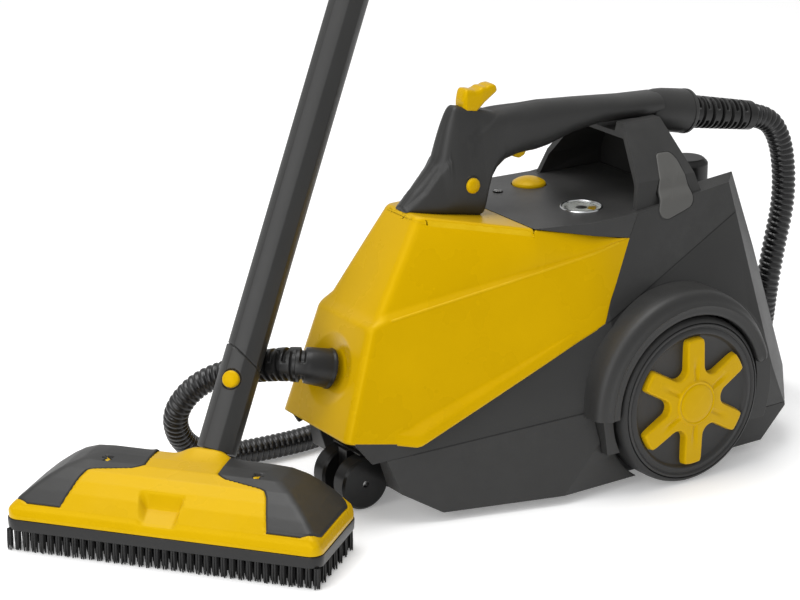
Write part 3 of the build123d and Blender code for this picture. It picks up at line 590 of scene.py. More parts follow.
def crease_z(x):
    """Height of the crease that climbs from the shoulder to the tip."""
    return SHOULDER_Z + CREASE_RISE * (x - SHOULDER_X)


def crease_taper(x):
    """1 at the shoulder, 0 at the tip: the ledge over the crease fades out."""
    return np.clip((TIP_X - x) / (TIP_X - SHOULDER_X), 0, 1) ** 0.6


def seam_z(x):
    """Height of the cover's lower edge."""
    return np.interp(x, [-305, -262, -247, -72, -65, -38], [75.5, 69.5, 67.5, 149.5, 168, 217])


LIP = 9.0                                    # height of the lip along the lower edge
LIP_PROUD, LIP_SLOPE = 6.5, 7.5              # how far it stands out, and the slope above it


def lip_taper(x):
    """How far the lip stands out: full near the front, fading both ways."""
    return np.clip((-100 - x) / 140, 0, 1) ** 0.8 * np.clip((x + 262) / 18, 0, 1)


def cover_half(x, z):
    """Half width of the cover: lip, lower facet, ledge, then a ruled and slightly full upper facet."""
    low, crease = flank(x, z), crease_z(x)
    ledge = crease + LEDGE_HIGH * crease_taper(x) + 0.01
    at_crease = flank(x, crease)
    inset = at_crease - LEDGE_DEEP * crease_taper(x)
    t = np.clip((z - ledge) / (rim_z(x) - ledge), 0, 1.3)
    upper = inset + (rim_half(x) - inset) * t + UPPER_FULL * t * (1 - t)
    step = at_crease + (inset - at_crease) * np.clip((z - crease) / (ledge - crease), 0, 1)
    taper = lip_taper(x)
    low = low + LIP_PROUD * taper * np.clip(1 - (z - seam_z(x) - LIP) / (LIP_SLOPE * taper + 0.01), 0, 1)
    return np.where(z < crease, low, np.where(z < ledge, step, upper))


def nose_x(z):
    """Front profile: a steep nose, a small shelf at the shoulder, then the brow up to the hood."""
    return np.interp(z, [40, 168, 172.5, 260], [-315.6, -274.3, -266.0, -210.4])


WINDOW = (-1, -0.5, 0, 0.5, 1)


def windowed(profile, z, reach):
    """The mean of a profile over a small window, which rounds its corners."""
    return sum(profile(z + reach * k) for k in WINDOW) / len(WINDOW)


SOCKET = np.array([-288.5, 0, 124.0])


def dimple(x, y, z):
    """A shallow cone round the hose socket: 5 mm deep at radius 17, nothing at radius 31."""
    r = np.hypot(y, (z - SOCKET[2]) * 1.05)
    return 5.0 * np.clip((31 - r) / 14, 0, 1)


def cover_field(p):
    """Negative inside the cover's outer skin, zero on it; roughly millimetres."""
    x, y, z = p[..., 0], np.abs(p[..., 1]), p[..., 2]
    front = (windowed(nose_x, z, 2.2) - x + dimple(x, y, z)) / 1.06
    side = (y - windowed(lambda h: cover_half(x, h), z, 0.5)) / 1.05
    return soft_max(soft_max(front, side, 6.5), (z - hood_z(x)) / 1.014, 3.5)


HALVINGS = 34                                # leaves an error far below a micrometre


def cast(field, start, direction, reach=160.0):
    """Where rays leave a shape: halve the way between the start, inside, and reach, outside."""
    near, far = np.zeros(start.shape[:-1]), np.full(start.shape[:-1], reach)
    for _ in range(HALVINGS):
        middle = (near + far) / 2
        inside = field(start + direction * middle[..., None]) < 0
        near, far = np.where(inside, middle, near), np.where(inside, far, middle)
    return start + direction * near[..., None]


print("half width at the tip", round(float(TIP_Y), 1))

# %% Guide lines of the cover, and its side sheet
KNOTS = [0, 0.06, 0.72, 0.84, 1]
SIDE_COLUMNS, FAN_COLUMNS = 72, 97
along = np.linspace(0, 1, SIDE_COLUMNS)


def guide_heights(x):
    """Heights of the six guide lines for their own x values: edge, lip, slope, crease, ledge, rim."""
    return [seam_z(x[0]), seam_z(x[1]) + LIP * np.clip((TIP_X - x[1]) / 40, 0, 1),
            seam_z(x[2]) + LIP * np.clip((TIP_X - x[2]) / 40, 0, 1) + LIP_SLOPE * lip_taper(x[2]),
            crease_z(x[3]), crease_z(x[4]) + LEDGE_HIGH * crease_taper(x[4]),
            rim_z(x[5]) - np.where(x[5] < DECK_X, 4.0, 0.6) * np.clip((TIP_X - x[5]) / 9, 0, 1)]


lower_x = np.interp(along, KNOTS, [-262, -247, -72, -65, -38])
crease_x = np.interp(along, KNOTS, [-238, -226, -90, -68, -38])
rim_x = np.interp(along, [0, 0.06, 0.5, 0.72, 0.84, 1], [-181, -176, DECK_X, -88, -64, -38])
side_x = np.stack([lower_x, lower_x, lower_x, crease_x, crease_x, rim_x])
side_z = np.stack(guide_heights(side_x))

turn_angle = np.linspace(90, -90, FAN_COLUMNS)[1:-1]
fan_way = np.stack([-np.cos(np.radians(turn_angle)), -np.sin(np.radians(turn_angle)),
                    np.zeros(len(turn_angle))], 1)
fan_x = np.repeat(side_x[:, :1], len(turn_angle), axis=1)
fan_z = np.repeat(side_z[:, :1], len(turn_angle), axis=1)
for _ in range(4):
    start = np.stack([fan_x, np.zeros_like(fan_x), fan_z], -1)
    fan_z = np.stack(guide_heights(cast(cover_field, start, fan_way[None])[..., 0]))

column_x = np.concatenate([side_x[:, ::-1], fan_x, side_x], axis=1)
column_z = np.concatenate([side_z[:, ::-1], fan_z, side_z], axis=1)
sideways = np.zeros((SIDE_COLUMNS, 3))
sideways[:, 1] = 1
column_way = np.concatenate([-sideways, fan_way, sideways])
ROWS_BETWEEN = [5, 5, 60, 5, 40]
row_parts = [np.linspace(k, k + 1, n, endpoint=False) for k, n in enumerate(ROWS_BETWEEN)]
row_level = np.concatenate(row_parts + [[len(ROWS_BETWEEN)]])


def between_guides(values, level):
    """Values on rows between the guide lines, straight from one guide to the next."""
    k = np.minimum(level.astype(int), len(values) - 2)
    part = (level - k)[:, None]
    return values[k] * (1 - part) + values[k + 1] * part


row_x, row_z = between_guides(column_x, row_level), between_guides(column_z, row_level)
spine = np.stack([row_x, np.zeros_like(row_x), row_z], -1)
side_sheet = cast(cover_field, spine, column_way[None])
side_sheet[:, 0] = side_sheet[:, -1] * [1, -1, 1]
print("side sheet", side_sheet.shape[:2], "points")

# %% The cover's top sheet and the finished cover
tops = np.where(np.concatenate([rim_x[::-1], fan_x[-1], rim_x]) <= DECK_X + 0.01)[0]
centre = spine[-1, tops] * [1, 0, 1] - [0, 0, 1.0]
edge = side_sheet[-1, tops]
out = column_way[tops]
reach_out = np.linalg.norm((edge - centre)[:, :2], axis=1) - 5
UPWARDS = np.array([0, 0, 1.0])


def ray_feet(share):
    """Starts of the rays: 5 mm under the hood, at a share of the way from the middle to the edge."""
    x = centre[:, 0] + out[:, 0] * reach_out * share
    y = centre[:, 1] + out[:, 1] * reach_out * share
    return np.stack([x, y, hood_z(x) - 5], 1)


top_rows = [edge]
for tilt in np.radians(np.linspace(0, 90, 9)[1:]):
    top_rows.append(cast(cover_field, ray_feet(1), out * np.cos(tilt) + UPWARDS * np.sin(tilt), 40.0))
for part in np.linspace(1, 0, 14)[1:]:
    top_rows.append(cast(cover_field, ray_feet(part), np.broadcast_to(UPWARDS, edge.shape), 40.0))
top_sheet = np.stack(top_rows)
between = (top_sheet[1:, :-2] + top_sheet[1:, 2:]) / 2
jumps = np.linalg.norm(top_sheet[1:, 1:-1] - between, axis=-1) > 0.6
print("points eased on the top sheet:", int(jumps.sum()))
top_sheet[1:, 1:-1] = np.where(jumps[..., None], between, top_sheet[1:, 1:-1])
cover_points, cover_faces = gather(
    (side_sheet, [grid_faces(*side_sheet.shape[:2])]), (top_sheet, [grid_faces(*top_sheet.shape[:2])]))
cover_mesh = make_mesh("front_cover", cover_points, cover_faces, "yellow_gloss", smooth=42)
cover = place_piece("front_cover", cover_mesh, "root", "front_shell")
wall = cover.modifiers.new("wall", "SOLIDIFY")
wall.thickness, wall.offset, wall.use_rim = 0.0024, -1, True
print("cover faces", len(cover.data.polygons))

# %% [markdown]
# ## Slotted sleeves
# Where a hose meets a housing it would kink, so a sleeve of softer rubber stiffens it by steps. Rows of
# half-round slots, each row turned a quarter from the last, let it bend evenly. The slots are pressed into
# a tube surface: its radius drops wherever a point lies inside one.

# %% Both sleeves and their collars
def slotted_radius(run, turn, radius, first, last, pitch=5.6, depth=2.8):
    """Radius less a soft-edged slot: a thin band every pitch, on two long arcs that swap each row."""
    row = np.floor((run - first) / pitch)
    across = np.abs((run - first) / pitch - row - 0.5) * pitch
    arc = np.abs((turn / (np.pi / 2) + row) % 2 - 1)
    band = np.clip((1.75 - across) / 0.6, 0, 1)
    reach = np.clip((arc - 0.22) / 0.08, 0, 1)
    inside = (run > first) & (run < last)
    return radius - depth * band * reach * inside


def sleeve(name, control, collar_length, radii, first, last, body, replaces):
    """A slotted sleeve: collar, step, then a slowly narrowing slotted tube along a route."""
    line, run = resample(smooth_route(control, name + "_route"), 0.6)
    around = 96
    turn = np.linspace(0, 2 * np.pi, around, endpoint=False)
    collar_r, start_r, end_r = radii
    plain = np.interp(run, [0, 1.2, 3.0, collar_length - 1.5, collar_length + 0.8, run[-1] - 1.5, run[-1]],
                      [collar_r + 0.8, collar_r + 0.8, collar_r, collar_r - 1.0, start_r, end_r, end_r - 1.2])
    skin = tube_surface(line, slotted_radius(run[:, None], turn[None], plain[:, None], first, last), around)
    mesh = make_mesh(name, *capped_tube(skin), "black_satin", smooth=50)
    place_piece(name, mesh, body, replaces)
    print(name, "length", round(run[-1], 1), "mm")


sleeve("front_strain_sleeve", [(-288.5, 0, 124), (-309, 4, 130.4), (-325, 24.5, 128), (-337, 42.5, 122)],
       20, (16.6, 15.2, 13.2), 21, 62, "root", ["front_sleeve", "hose_socket"])
sleeve("rear_strain_sleeve", [(82, 0, 292.7), (121, 0, 284.9), (160.5, 0, 277)], 5, (15.4, 14.9, 13.2), 6, 70,
       "gun", ["gun_sleeve"])

# %% [markdown]
# ## The steam gun
# The gun is both the tool and, when docked, the carrying handle. Its outline from the side fixes where its
# skin starts and ends at every X, so its body is a loft: one soft-cornered upright section after another,
# from the collar along the grip and down the front block.

# %% Sections of the gun
GUN_TOP = np.array([(-217, 254), (-207.5, 264.5), (-199.5, 271.5), (-190.5, 280.5), (-183, 289), (-180.5, 298),
                    (-178, 307), (-174.5, 318), (-170, 328.5), (-166, 334), (-146, 329.5), (-128, 325),
                    (-113, 325.5), (-75, 325.5), (-37, 322.5), (12, 318), (48, 316)], float)
GUN_FOOT = np.array([(-217, 250), (-205, 247.5), (-190, 245), (-165, 240.5), (-149, 237.5), (-144.5, 239),
                     (-141, 254), (-137, 267), (-130, 275.5), (-119, 281), (-104, 283.5), (-84, 283.5),
                     (-70, 285.5), (-45, 293), (-16, 297.5), (20, 296), (48, 296)], float)
GUN_WIDTH = np.array([(-217, 8), (-209, 11.5), (-196, 15), (-184, 16.8), (-170, 18), (-135, 18.5), (-115, 17),
                      (-60, 15.2), (-10, 15.8), (30, 17), (48, 17.5)], float)


def smooth_line(points, x, reach):
    """Height of a broken line at x, averaged over a small window to round its corners."""
    return windowed(lambda at: np.interp(at, points[:, 0], points[:, 1]), x, reach)


GUN_SECTIONS = 260
TOP_REACH, FOOT_REACH, WIDTH_REACH = 1.6, 1.2, 5.0
fine_x = np.linspace(*GUN_TOP[[0, -1], 0], 3000)
fine_top, fine_foot = smooth_line(GUN_TOP, fine_x, TOP_REACH), smooth_line(GUN_FOOT, fine_x, FOOT_REACH)
travel = np.abs(np.diff(fine_x)) + np.abs(np.diff(fine_top)) + np.abs(np.diff(fine_foot))
travel = np.concatenate([[0], np.cumsum(travel)])
gun_x = np.interp(np.linspace(0, travel[-1], GUN_SECTIONS), travel, fine_x)
gun_top, gun_foot = smooth_line(GUN_TOP, gun_x, TOP_REACH), smooth_line(GUN_FOOT, gun_x, FOOT_REACH)
gun_half = smooth_line(GUN_WIDTH, gun_x, WIDTH_REACH)
squareness = np.interp(gun_x, [-217, -190, -150, -130, -95, 48], [3.2, 4.0, 5.5, 4.2, 2.5, 2.3])[:, None]
section_turn = np.linspace(0, 2 * np.pi, 96, endpoint=False)[None]


def superellipse(angle, power):
    """Cosine and sine bent so that the circle swells towards a square as the power grows."""
    c, s = np.cos(angle), np.sin(angle)
    return np.sign(c) * np.abs(c) ** (2 / power), np.sign(s) * np.abs(s) ** (2 / power)


def fade(value, full, none):
    """0 at none, 1 at full and past it, straight between."""
    return np.clip((value - none) / (full - none), 0, 1)


SET_BACK, LEAN_BACK = 3.2, 1.4                # a step behind the crease, and a slow lean above it
GROOVE_DEEP, GROOVE_HALF = 0.35, 0.7
column_gun_x = gun_x[:, None]
gun_side, gun_height = superellipse(section_turn, squareness)
gun_middle, gun_tall = (gun_top + gun_foot)[:, None] / 2, (gun_top - gun_foot)[:, None] / 2
flare = np.interp(gun_x, [-217, -190, -145, -120], [0.12, 0.26, 0.30, 0.0])[:, None]
gun_y, gun_z = gun_half[:, None] * gun_side * (1 - flare * gun_height), gun_middle + gun_tall * gun_height
# the upper front of the block is set back behind a crease that runs on from the grip
over_crease = gun_z - np.interp(gun_x, [-217, -199, -178, -131, -108], [250, 264, 287, 318, 342])[:, None]
set_back = SET_BACK * fade(over_crease, 3, 0) * fade(column_gun_x, -148, -122)
set_back = set_back + LEAN_BACK * fade(over_crease, 30, 0) * fade(column_gun_x, -180, -150)
gun_y = np.sign(gun_y) * np.maximum(np.abs(gun_y) - set_back * np.abs(gun_side) ** 0.5, 0)
# the moulding's two halves meet in a fine groove along the middle plane
groove = GROOVE_DEEP * np.exp(-(gun_y / GROOVE_HALF) ** 2) * fade(column_gun_x, -80, -60)
gun_z = gun_z - np.sign(gun_height) * groove
gun_skin = np.stack([np.broadcast_to(column_gun_x, gun_y.shape), gun_y, gun_z], -1)
place_piece("gun_body", make_mesh("gun_body", *capped_tube(gun_skin), "charcoal_shell", smooth=60), "gun",
            ["gun_shell_left", "gun_shell_right", "gun_spout"])
print("gun sections", len(gun_x))

# %% The gun's collar
def turned(profile, start, direction, columns=72):
    """Points and faces of a profile (distance along, radius) turned about an axis; both ends close on it."""
    axis = np.array(direction, float) / np.linalg.norm(direction)
    helper = np.array([0, 0, 1.0]) if abs(axis[2]) < 0.9 else np.array([1.0, 0, 0])
    u = np.cross(axis, helper)
    u /= np.linalg.norm(u)
    v = np.cross(axis, u)
    t = np.linspace(0, 2 * np.pi, columns, endpoint=False)
    ring = u * np.cos(t)[:, None] + v * np.sin(t)[:, None]
    profile = np.asarray(profile, float)
    surface = np.array(start) + profile[:, :1, None] * axis + profile[:, 1:, None] * ring
    return capped_tube(surface)


COLLAR_AT = (94, 0, 290.3)
collar_way = np.subtract(HOSE_ROUTE[-1], COLLAR_AT)
collar_profile = [(-54, 15.0), (-51, 16.6), (-46, 18.0), (-38, 19.0), (-24, 19.5), (-13.4, 19.7), (-13, 19.1),
                  (-12.4, 19.1), (-12, 20.0), (-9.5, 20.0), (-8.4, 19.3), (-8.2, 17.0), (-12, 16.2)]
collar_mesh = make_mesh("gun_collar_ring", *turned(collar_profile, COLLAR_AT, collar_way), "charcoal_shell",
                        smooth=40)
place_piece("gun_collar_ring", collar_mesh, "gun", ["gun_collar"])

# %% The gun's button
button_profile = [(-4, 6.7), (1.2, 6.7), (2.2, 6.4), (3.0, 5.6), (3.6, 4.0), (3.9, 1.6)]
button_ring = [(-9.5, 7.4), (-0.3, 7.4), (0.15, 7.9), (0.15, 8.6), (-0.6, 9.2), (-9.5, 9.2)]
BUTTON_SEAT = (-157.5, -19.5, 267.3)
button_mesh = make_mesh("gun_button_cap", *turned(button_profile, BUTTON_SEAT, (0, -1, 0), 48), "yellow_gloss",
                        smooth=50)
ring_mesh = make_mesh("gun_button_ring", *turned(button_ring, BUTTON_SEAT, (0, -1, 0), 48), "black_satin",
                      smooth=50)
place_piece("gun_button_cap", button_mesh, "gun_button", ["gun_button"])
place_piece("gun_button_ring", ring_mesh, "gun")
print("button", BUTTON_SEAT)

# %% The steam lever
LEVER_TOP = np.array([(-158, 338), (-156.5, 345), (-154.5, 347.2), (-150, 346.6), (-146, 345.4),
                      (-142.5, 345.8), (-139, 347.4), (-135, 347.0), (-132, 348.2), (-127.5, 348.4),
                      (-124.5, 346.5), (-124, 343)], float)
LEVER_FOOT = np.array([(-158, 331), (-155, 327), (-145, 326), (-141.5, 329), (-137, 333), (-130, 337.5),
                       (-124, 341.5)], float)
LEVER_REACH, LEVER_SQUARE = 0.8, 4.5
lever_x = np.linspace(*LEVER_TOP[[0, -1], 0], 90)
lever_top, lever_foot = (smooth_line(line, lever_x, LEVER_REACH) for line in (LEVER_TOP, LEVER_FOOT))
lever_half = np.interp(lever_x, [-158, -155, -140, -126, -124], [5.5, 7.6, 8.4, 7.6, 6.0])
lever_side, lever_height = superellipse(section_turn, LEVER_SQUARE)
lever_z = (lever_top + lever_foot)[:, None] / 2 + (lever_top - lever_foot)[:, None] / 2 * lever_height
lever_skin = np.stack([np.broadcast_to(lever_x[:, None], lever_z.shape), lever_half[:, None] * lever_side,
                       lever_z], -1)
place_piece("lever_cap", make_mesh("lever_cap", *capped_tube(lever_skin), "yellow_gloss", smooth=45),
            "steam_lever", ["steam_lever"])
print("lever length", lever_x[-1] - lever_x[0], "mm")

# %% [markdown]
# ## Wheels
# Tyre and disc are turned shapes: a profile from the side, spun about the axle. The star-shaped cap has six
# arms joined by round fillets. Its outline is worked out for one arm and turned five times. Rings run from
# the foot of its walls over a soft edge to the middle, and a formula gives their height: grooves in the
# arms, a domed hub.

# %% Wheels and their star caps
WHEEL_Z = 75.0
TYRE_PROFILE = [(99.5, 66.5), (98.6, 69), (98.4, 71.5), (99.6, 73.6), (102, 74.8), (106, 75), (118, 74.9),
                (121.5, 74.5), (124.2, 73.6), (126.1, 72.3), (127.2, 71.0), (127.5, 70.2), (126.4, 69.7),
                (124, 69.6)]
DISC_PROFILE = [(99, 60), (99, 69), (100, 69.5), (125.4, 69.4), (127.4, 69.1), (128.0, 68.3), (127.9, 67.0),
                (127.0, 66.2), (126.8, 65.6), (127.4, 64.8), (127.6, 63.0), (127.9, 61.8), (127.8, 60.8),
                (127.0, 59.8), (125.2, 58.6), (124.6, 57.4), (124.6, 40), (124.8, 12)]
DISC_FLOOR = 124.7                            # height of the disc's face, where the star stands
WHEEL_COLUMNS = 160
ARMS = 6
ARM_TIP, ARM_HALF, ARM_FILLET, ARM_CORNER = 56.7, 9.0, 9.5, 2.2


def unit_ring(turn):
    """Cosine and sine of each angle, side by side."""
    return np.stack([np.cos(turn), np.sin(turn)], -1)


def star_outline():
    """Corners (along an arm, across it) of the whole star: six arms joined by round fillets."""
    half_sector = np.pi / ARMS
    fillet_at = (ARM_HALF + ARM_FILLET) / np.sin(half_sector) * unit_ring(half_sector)
    corner_at = np.array([ARM_TIP - ARM_CORNER - 0.5, ARM_HALF - ARM_CORNER - 0.4])
    tip_corner = corner_at + ARM_CORNER * unit_ring(np.radians(np.linspace(0, 84, 8)))
    tip = np.array([[ARM_TIP, 0], [ARM_TIP - 0.1, 3.3]])
    side_x = np.linspace(ARM_TIP - ARM_CORNER - 3, fillet_at[0] + 1, 9)
    side = np.stack([side_x, np.full(len(side_x), ARM_HALF)], 1)
    fillet = fillet_at + ARM_FILLET * unit_ring(np.radians(np.linspace(-90, -150, 11)))
    half = np.vstack([tip, tip_corner, side, fillet])
    sector = np.vstack([half[:0:-1] * [1, -1], half])[1:]
    turns = 2 * half_sector * np.arange(ARMS)
    spin = np.stack([unit_ring(turns) * [1, -1], unit_ring(turns)[:, ::-1]], 1)
    return np.einsum("kij,nj->kni", spin, sector).reshape(-1, 2)


def star_height(points):
    """Height above the disc: 6.2 at the tips to 8 inwards, less the arms' grooves, plus the domed hub."""
    far = np.hypot(points[..., 0], points[..., 1])
    turn = np.arctan2(points[..., 1], points[..., 0])
    off = np.abs(far * np.sin((turn + np.pi / ARMS) % (2 * np.pi / ARMS) - np.pi / ARMS))
    plain = np.interp(far, [0, 20, 57], [8.2, 8.0, 6.2])
    groove = 1.5 * np.clip(1 - (off / 2.6) ** 2, 0, 1) * fade(far, 31, 43) * fade(far, 22, 20)
    hub = 1.7 * fade(far, 18.9, 20.2) - 0.7 * np.exp(-((far - 17.4) / 0.8) ** 2)
    dome = 0.8 * np.clip(1 - (far / 17) ** 2, 0, 1)
    return plain - groove + hub + dome


def star_skin(side_sign):
    """Rings of the star from the foot of its walls over the soft edge to the middle."""
    outline = star_outline()
    ahead, behind = np.roll(outline, -1, 0), np.roll(outline, 1, 0)
    along = ahead - behind
    outward = np.stack([along[:, 1], -along[:, 0]], 1) / np.linalg.norm(along, axis=1)[:, None]
    top = star_height(outline)
    rings = [(outline + outward * 1.3, np.full_like(top, -1.0)), (outline + outward * 0.4, top - 2.4),
             (outline + outward * 0.15, top - 1.0), (outline - outward * 0.25, top - 0.35),
             (outline - outward * 0.8, top - 0.05)]
    inner = outline - outward * 1.5
    reach = np.hypot(inner[:, 0], inner[:, 1])
    unit = inner / reach[:, None]
    for share in np.linspace(0, 1, 22):
        level = unit * (reach + (21.4 - reach) * share)[:, None]
        rings.append((level, star_height(level)))
    for far in (20.8, 20.2, 19.6, 19.0, 18.4, 17.8, 17.2, 16.6, 15.8, 13, 9, 4.5, 1):
        rings.append((unit * far, star_height(unit * far)))
    flat = np.stack([np.stack([p[:, 1], DISC_FLOOR + h, WHEEL_Z + p[:, 0]], 1) for p, h in rings])
    return flat * [1, side_sign, 1]


for hand, side_sign in (("left", -1), ("right", 1)):
    for part, profile, look in (("tyre", TYRE_PROFILE, "tyre_rubber"), ("disc", DISC_PROFILE, "disc_dark")):
        skin = turned(profile, (0, 0, WHEEL_Z), (0, side_sign, 0), WHEEL_COLUMNS)
        skin_mesh = make_mesh(part + "_skin_" + hand, *skin, look, smooth=40)
        stands_for = "tyre_" if part == "tyre" else "wheel_disc_"
        place_piece(part + "_skin_" + hand, skin_mesh, "wheel_" + hand, [stands_for + hand])
    star_mesh = make_mesh("star_" + hand, *capped_tube(star_skin(side_sign)), "yellow_gloss", smooth=35)
    place_piece("star_" + hand, star_mesh, "wheel_" + hand, ["star_cap_" + hand])
print("wheels ready")

# %% [markdown]
# ## Fenders
# A moulded band arches over each wheel: a flat lip, a thin bright crest, and a round shoulder back to the
# shell. Its profile, distance from the axle against distance from the middle plane, is carried round the
# axle from the front leg to the rear end, where it shrinks to nothing over a few millimetres.

# %% The bands over the wheels
FENDER_PROFILE = np.array([
    (76.4, 100), (76.4, 124.6), (76.8, 126.2), (77.8, 127.0), (80.5, 127.2), (83.2, 127.0), (84.2, 127.6),
    (85.2, 128.2), (86.6, 127.7), (88.2, 126.0), (90.2, 124.2), (92.4, 123.4), (94.4, 122.6), (96.2, 120.6),
    (97.4, 117.0), (97.8, 110), (97.8, 92)])
FENDER_FROM, FENDER_TO, FENDER_END = -1.0, 166.0, 5.0     # degrees; the end is rounded over the last five
BAND_MIDDLE = 82.0
SHOULDER_R = 89.0                             # outside this radius the band thins towards the rear
end_start = FENDER_TO - FENDER_END
fender_degrees = np.concatenate([[FENDER_FROM], np.linspace(FENDER_FROM + 0.6, end_start, 120),
                                 end_start + FENDER_END * np.sin(np.linspace(0.15, np.pi / 2, 9))])[:, None]
fender_turn = np.radians(fender_degrees)
shrink = np.sqrt(1 - fade(fender_degrees, FENDER_TO, end_start) ** 2)
profile_r, profile_y = FENDER_PROFILE.T
band_r = profile_r - np.maximum(profile_r - SHOULDER_R, 0) * 0.8 * fade(fender_degrees, 155, 105)
band_r = BAND_MIDDLE + (band_r - BAND_MIDDLE) * (0.25 + 0.75 * shrink)
band_y = profile_y - 3.5 * (1 - shrink)
band_x = -np.cos(fender_turn) * band_r
band_z = WHEEL_Z + np.sin(fender_turn) * band_r
for hand, side_sign in (("left", -1), ("right", 1)):
    band_skin = np.stack([band_x, side_sign * band_y, band_z], -1)
    band = make_mesh("fender_band_" + hand, *capped_tube(band_skin), "charcoal_shell", smooth=40)
    place_piece("fender_band_" + hand, band, "root")
print("fender bands ready")

# %% [markdown]
# ## The floor brush
# The brush's cover is one low yellow form: a sloping rim all round, then a long slope up to a flat top that
# ends in a steep back. Its height over every point is a formula of the distance from the outline. The two
# dark cloth flaps follow the same formula, let in so that they sit flush, and the neck's hump and the
# dished step on the front slope are added to it.

# %% The brush's own frame and its height
BRUSH_AT, BRUSH_TURN = np.array([-438.6, -9.3, 0]), radians(-50.8)
LONG = np.array([np.cos(BRUSH_TURN), np.sin(BRUSH_TURN), 0])
DEEP = np.array([-np.sin(BRUSH_TURN), np.cos(BRUSH_TURN), 0])
HALF_LONG, HALF_DEEP = 136.5, 47.4


def from_brush(l, s, z):
    """Machine millimetres of points given along the brush, across it and up."""
    l, s, z = np.broadcast_arrays(l, s, z)
    return BRUSH_AT + l[..., None] * LONG + s[..., None] * DEEP + z[..., None] * UPWARDS


COVER_SLOPE = ([-3, 0, 2.2, 4.5, 8, 16, 26, 36, 48, 62],
               [29.2, 31, 37, 40, 43.2, 50.5, 58, 64, 68.5, 70.5])


def brush_height(l, s):
    """Height of the cover: a profile of the soft smallest distance to front, ends and (steeper) back."""
    ends = (HALF_LONG - np.abs(l)) * 0.95
    d = -soft_max(soft_max(-(HALF_DEEP + s), -ends, 6.0), -(HALF_DEEP - s) * 4.0, 4.0)
    z = np.interp(d, *COVER_SLOPE)
    z = z - 2.5 * np.clip((s - 20) / 25, 0, 1) ** 2
    hump = 9.0 * np.exp(-(((l - 10) / 20) ** 4)) * np.clip((s - 14) / 22, 0, 1) ** 1.5
    dish_side = np.clip((l + 27 + 0.25 * (s + 20)) / 7, 0, 1) * np.clip((13 - l) / 2.2, 0, 1)
    dish_floor = 36.0 + (s + 44) * 0.14
    dish = np.clip((s + 46.0) / 1.2, 0, 1) * np.clip((-23 - s) / 5, 0, 1) * dish_side
    z = z + hump
    return z + (np.minimum(dish_floor, z) - z) * dish * 0.62


def flap_inner(s):
    """Where a flap starts along the brush, for each place across it."""
    return np.interp(s, [-40, -28, -16, -10.5, -8.5, -3.0, -0.5, 3, 43],
                     [89, 84.5, 80.5, 77, 73, 41, 36, 32, 32])


def flap_outer(s):
    """Where a flap ends along the brush, with a rounded front corner."""
    bend = np.clip((-28 - s) / 12, 0, 1)
    back = np.clip((s - 34) / 9, 0, 1)
    return 132 - 13 * (1 - np.sqrt(1 - bend ** 2)) - 8 * (1 - np.sqrt(1 - back ** 2))


FLAP_FRONT, FLAP_BACK = -41.0, 44.5
FLAP_GAP = 0.7                                # clear space round a flap


def flap_edge(l, s):
    """Distance inwards from the nearest edge of a flap."""
    sides = np.minimum(l - flap_inner(s), flap_outer(s) - l)
    return np.minimum(sides, np.minimum(s - FLAP_FRONT, FLAP_BACK - s))


def under_flap(l, s):
    """1 where the cover is let in for a flap, 0 elsewhere, with a short slope between."""
    return np.clip((flap_edge(np.abs(l), s) + FLAP_GAP) / 0.8, 0, 1)


print("brush top at the middle", round(float(brush_height(0.0, 0.0)), 1), "mm")

# %% The yellow cover of the brush
def rounded_outline(half_long, half_deep, widest_corner, count):
    """Points round a rectangle with round corners; each keeps its place as the rectangle shrinks."""
    turn = np.linspace(0, 2 * np.pi, count, endpoint=False)
    share = np.mod(turn / (2 * np.pi) * 4, 4)
    quarter, part = share.astype(int), share % 1
    straight = 0.42
    bend = np.clip((part - straight) / (1 - 2 * straight), 0, 1) * np.pi / 2
    lead = np.clip(part / straight, 0, 1)
    tail = np.clip((part - 1 + straight) / straight, 0, 1)
    corner = min(widest_corner, half_deep)
    ax, ay = half_long - corner, half_deep - corner
    # quarter 0 runs from the middle of the +L end to the middle of the +S side
    x = np.where(quarter % 2 == 0, ax + corner * np.cos(bend) - tail * ax, ax * lead + corner * np.sin(bend))
    y = np.where(quarter % 2 == 0, ay * lead + corner * np.sin(bend), ay + corner * np.cos(bend) - tail * ay)
    sx = np.array([1, -1, -1, 1])[quarter]
    sy = np.array([1, 1, -1, -1])[quarter]
    return x * sx, y * sy


COVER_INSETS = np.concatenate([np.linspace(0, 6, 13), np.linspace(6.8, HALF_DEEP, 56)])
COVER_FOOT, COVER_CORNER, COVER_AROUND = 28.4, 11, 720
LET_IN = 1.6                                  # depth of the bed under a flap
foot_l, foot_s = rounded_outline(HALF_LONG - 0.2, HALF_DEEP - 0.2, COVER_CORNER, COVER_AROUND)
brush_rings = [from_brush(foot_l * 0.96, foot_s * 0.9, COVER_FOOT), from_brush(foot_l, foot_s, COVER_FOOT)]
for inset in COVER_INSETS:
    ring_l, ring_s = rounded_outline(HALF_LONG - inset, HALF_DEEP - inset, max(COVER_CORNER - inset, 0.3),
                                     COVER_AROUND)
    ring_z = brush_height(ring_l, ring_s) - LET_IN * under_flap(ring_l, ring_s)
    brush_rings.append(from_brush(ring_l, ring_s, ring_z))
brush_faces = grid_faces(len(brush_rings), COVER_AROUND, close_columns=True).tolist()
brush_faces.append(list(range(COVER_AROUND)))
brush_cover = make_mesh("brush_cover", np.concatenate(brush_rings), brush_faces, "yellow_gloss", smooth=50)
place_piece("brush_cover", brush_cover, "brush", ["brush_housing"])
print("brush cover faces", len(brush_cover.polygons))

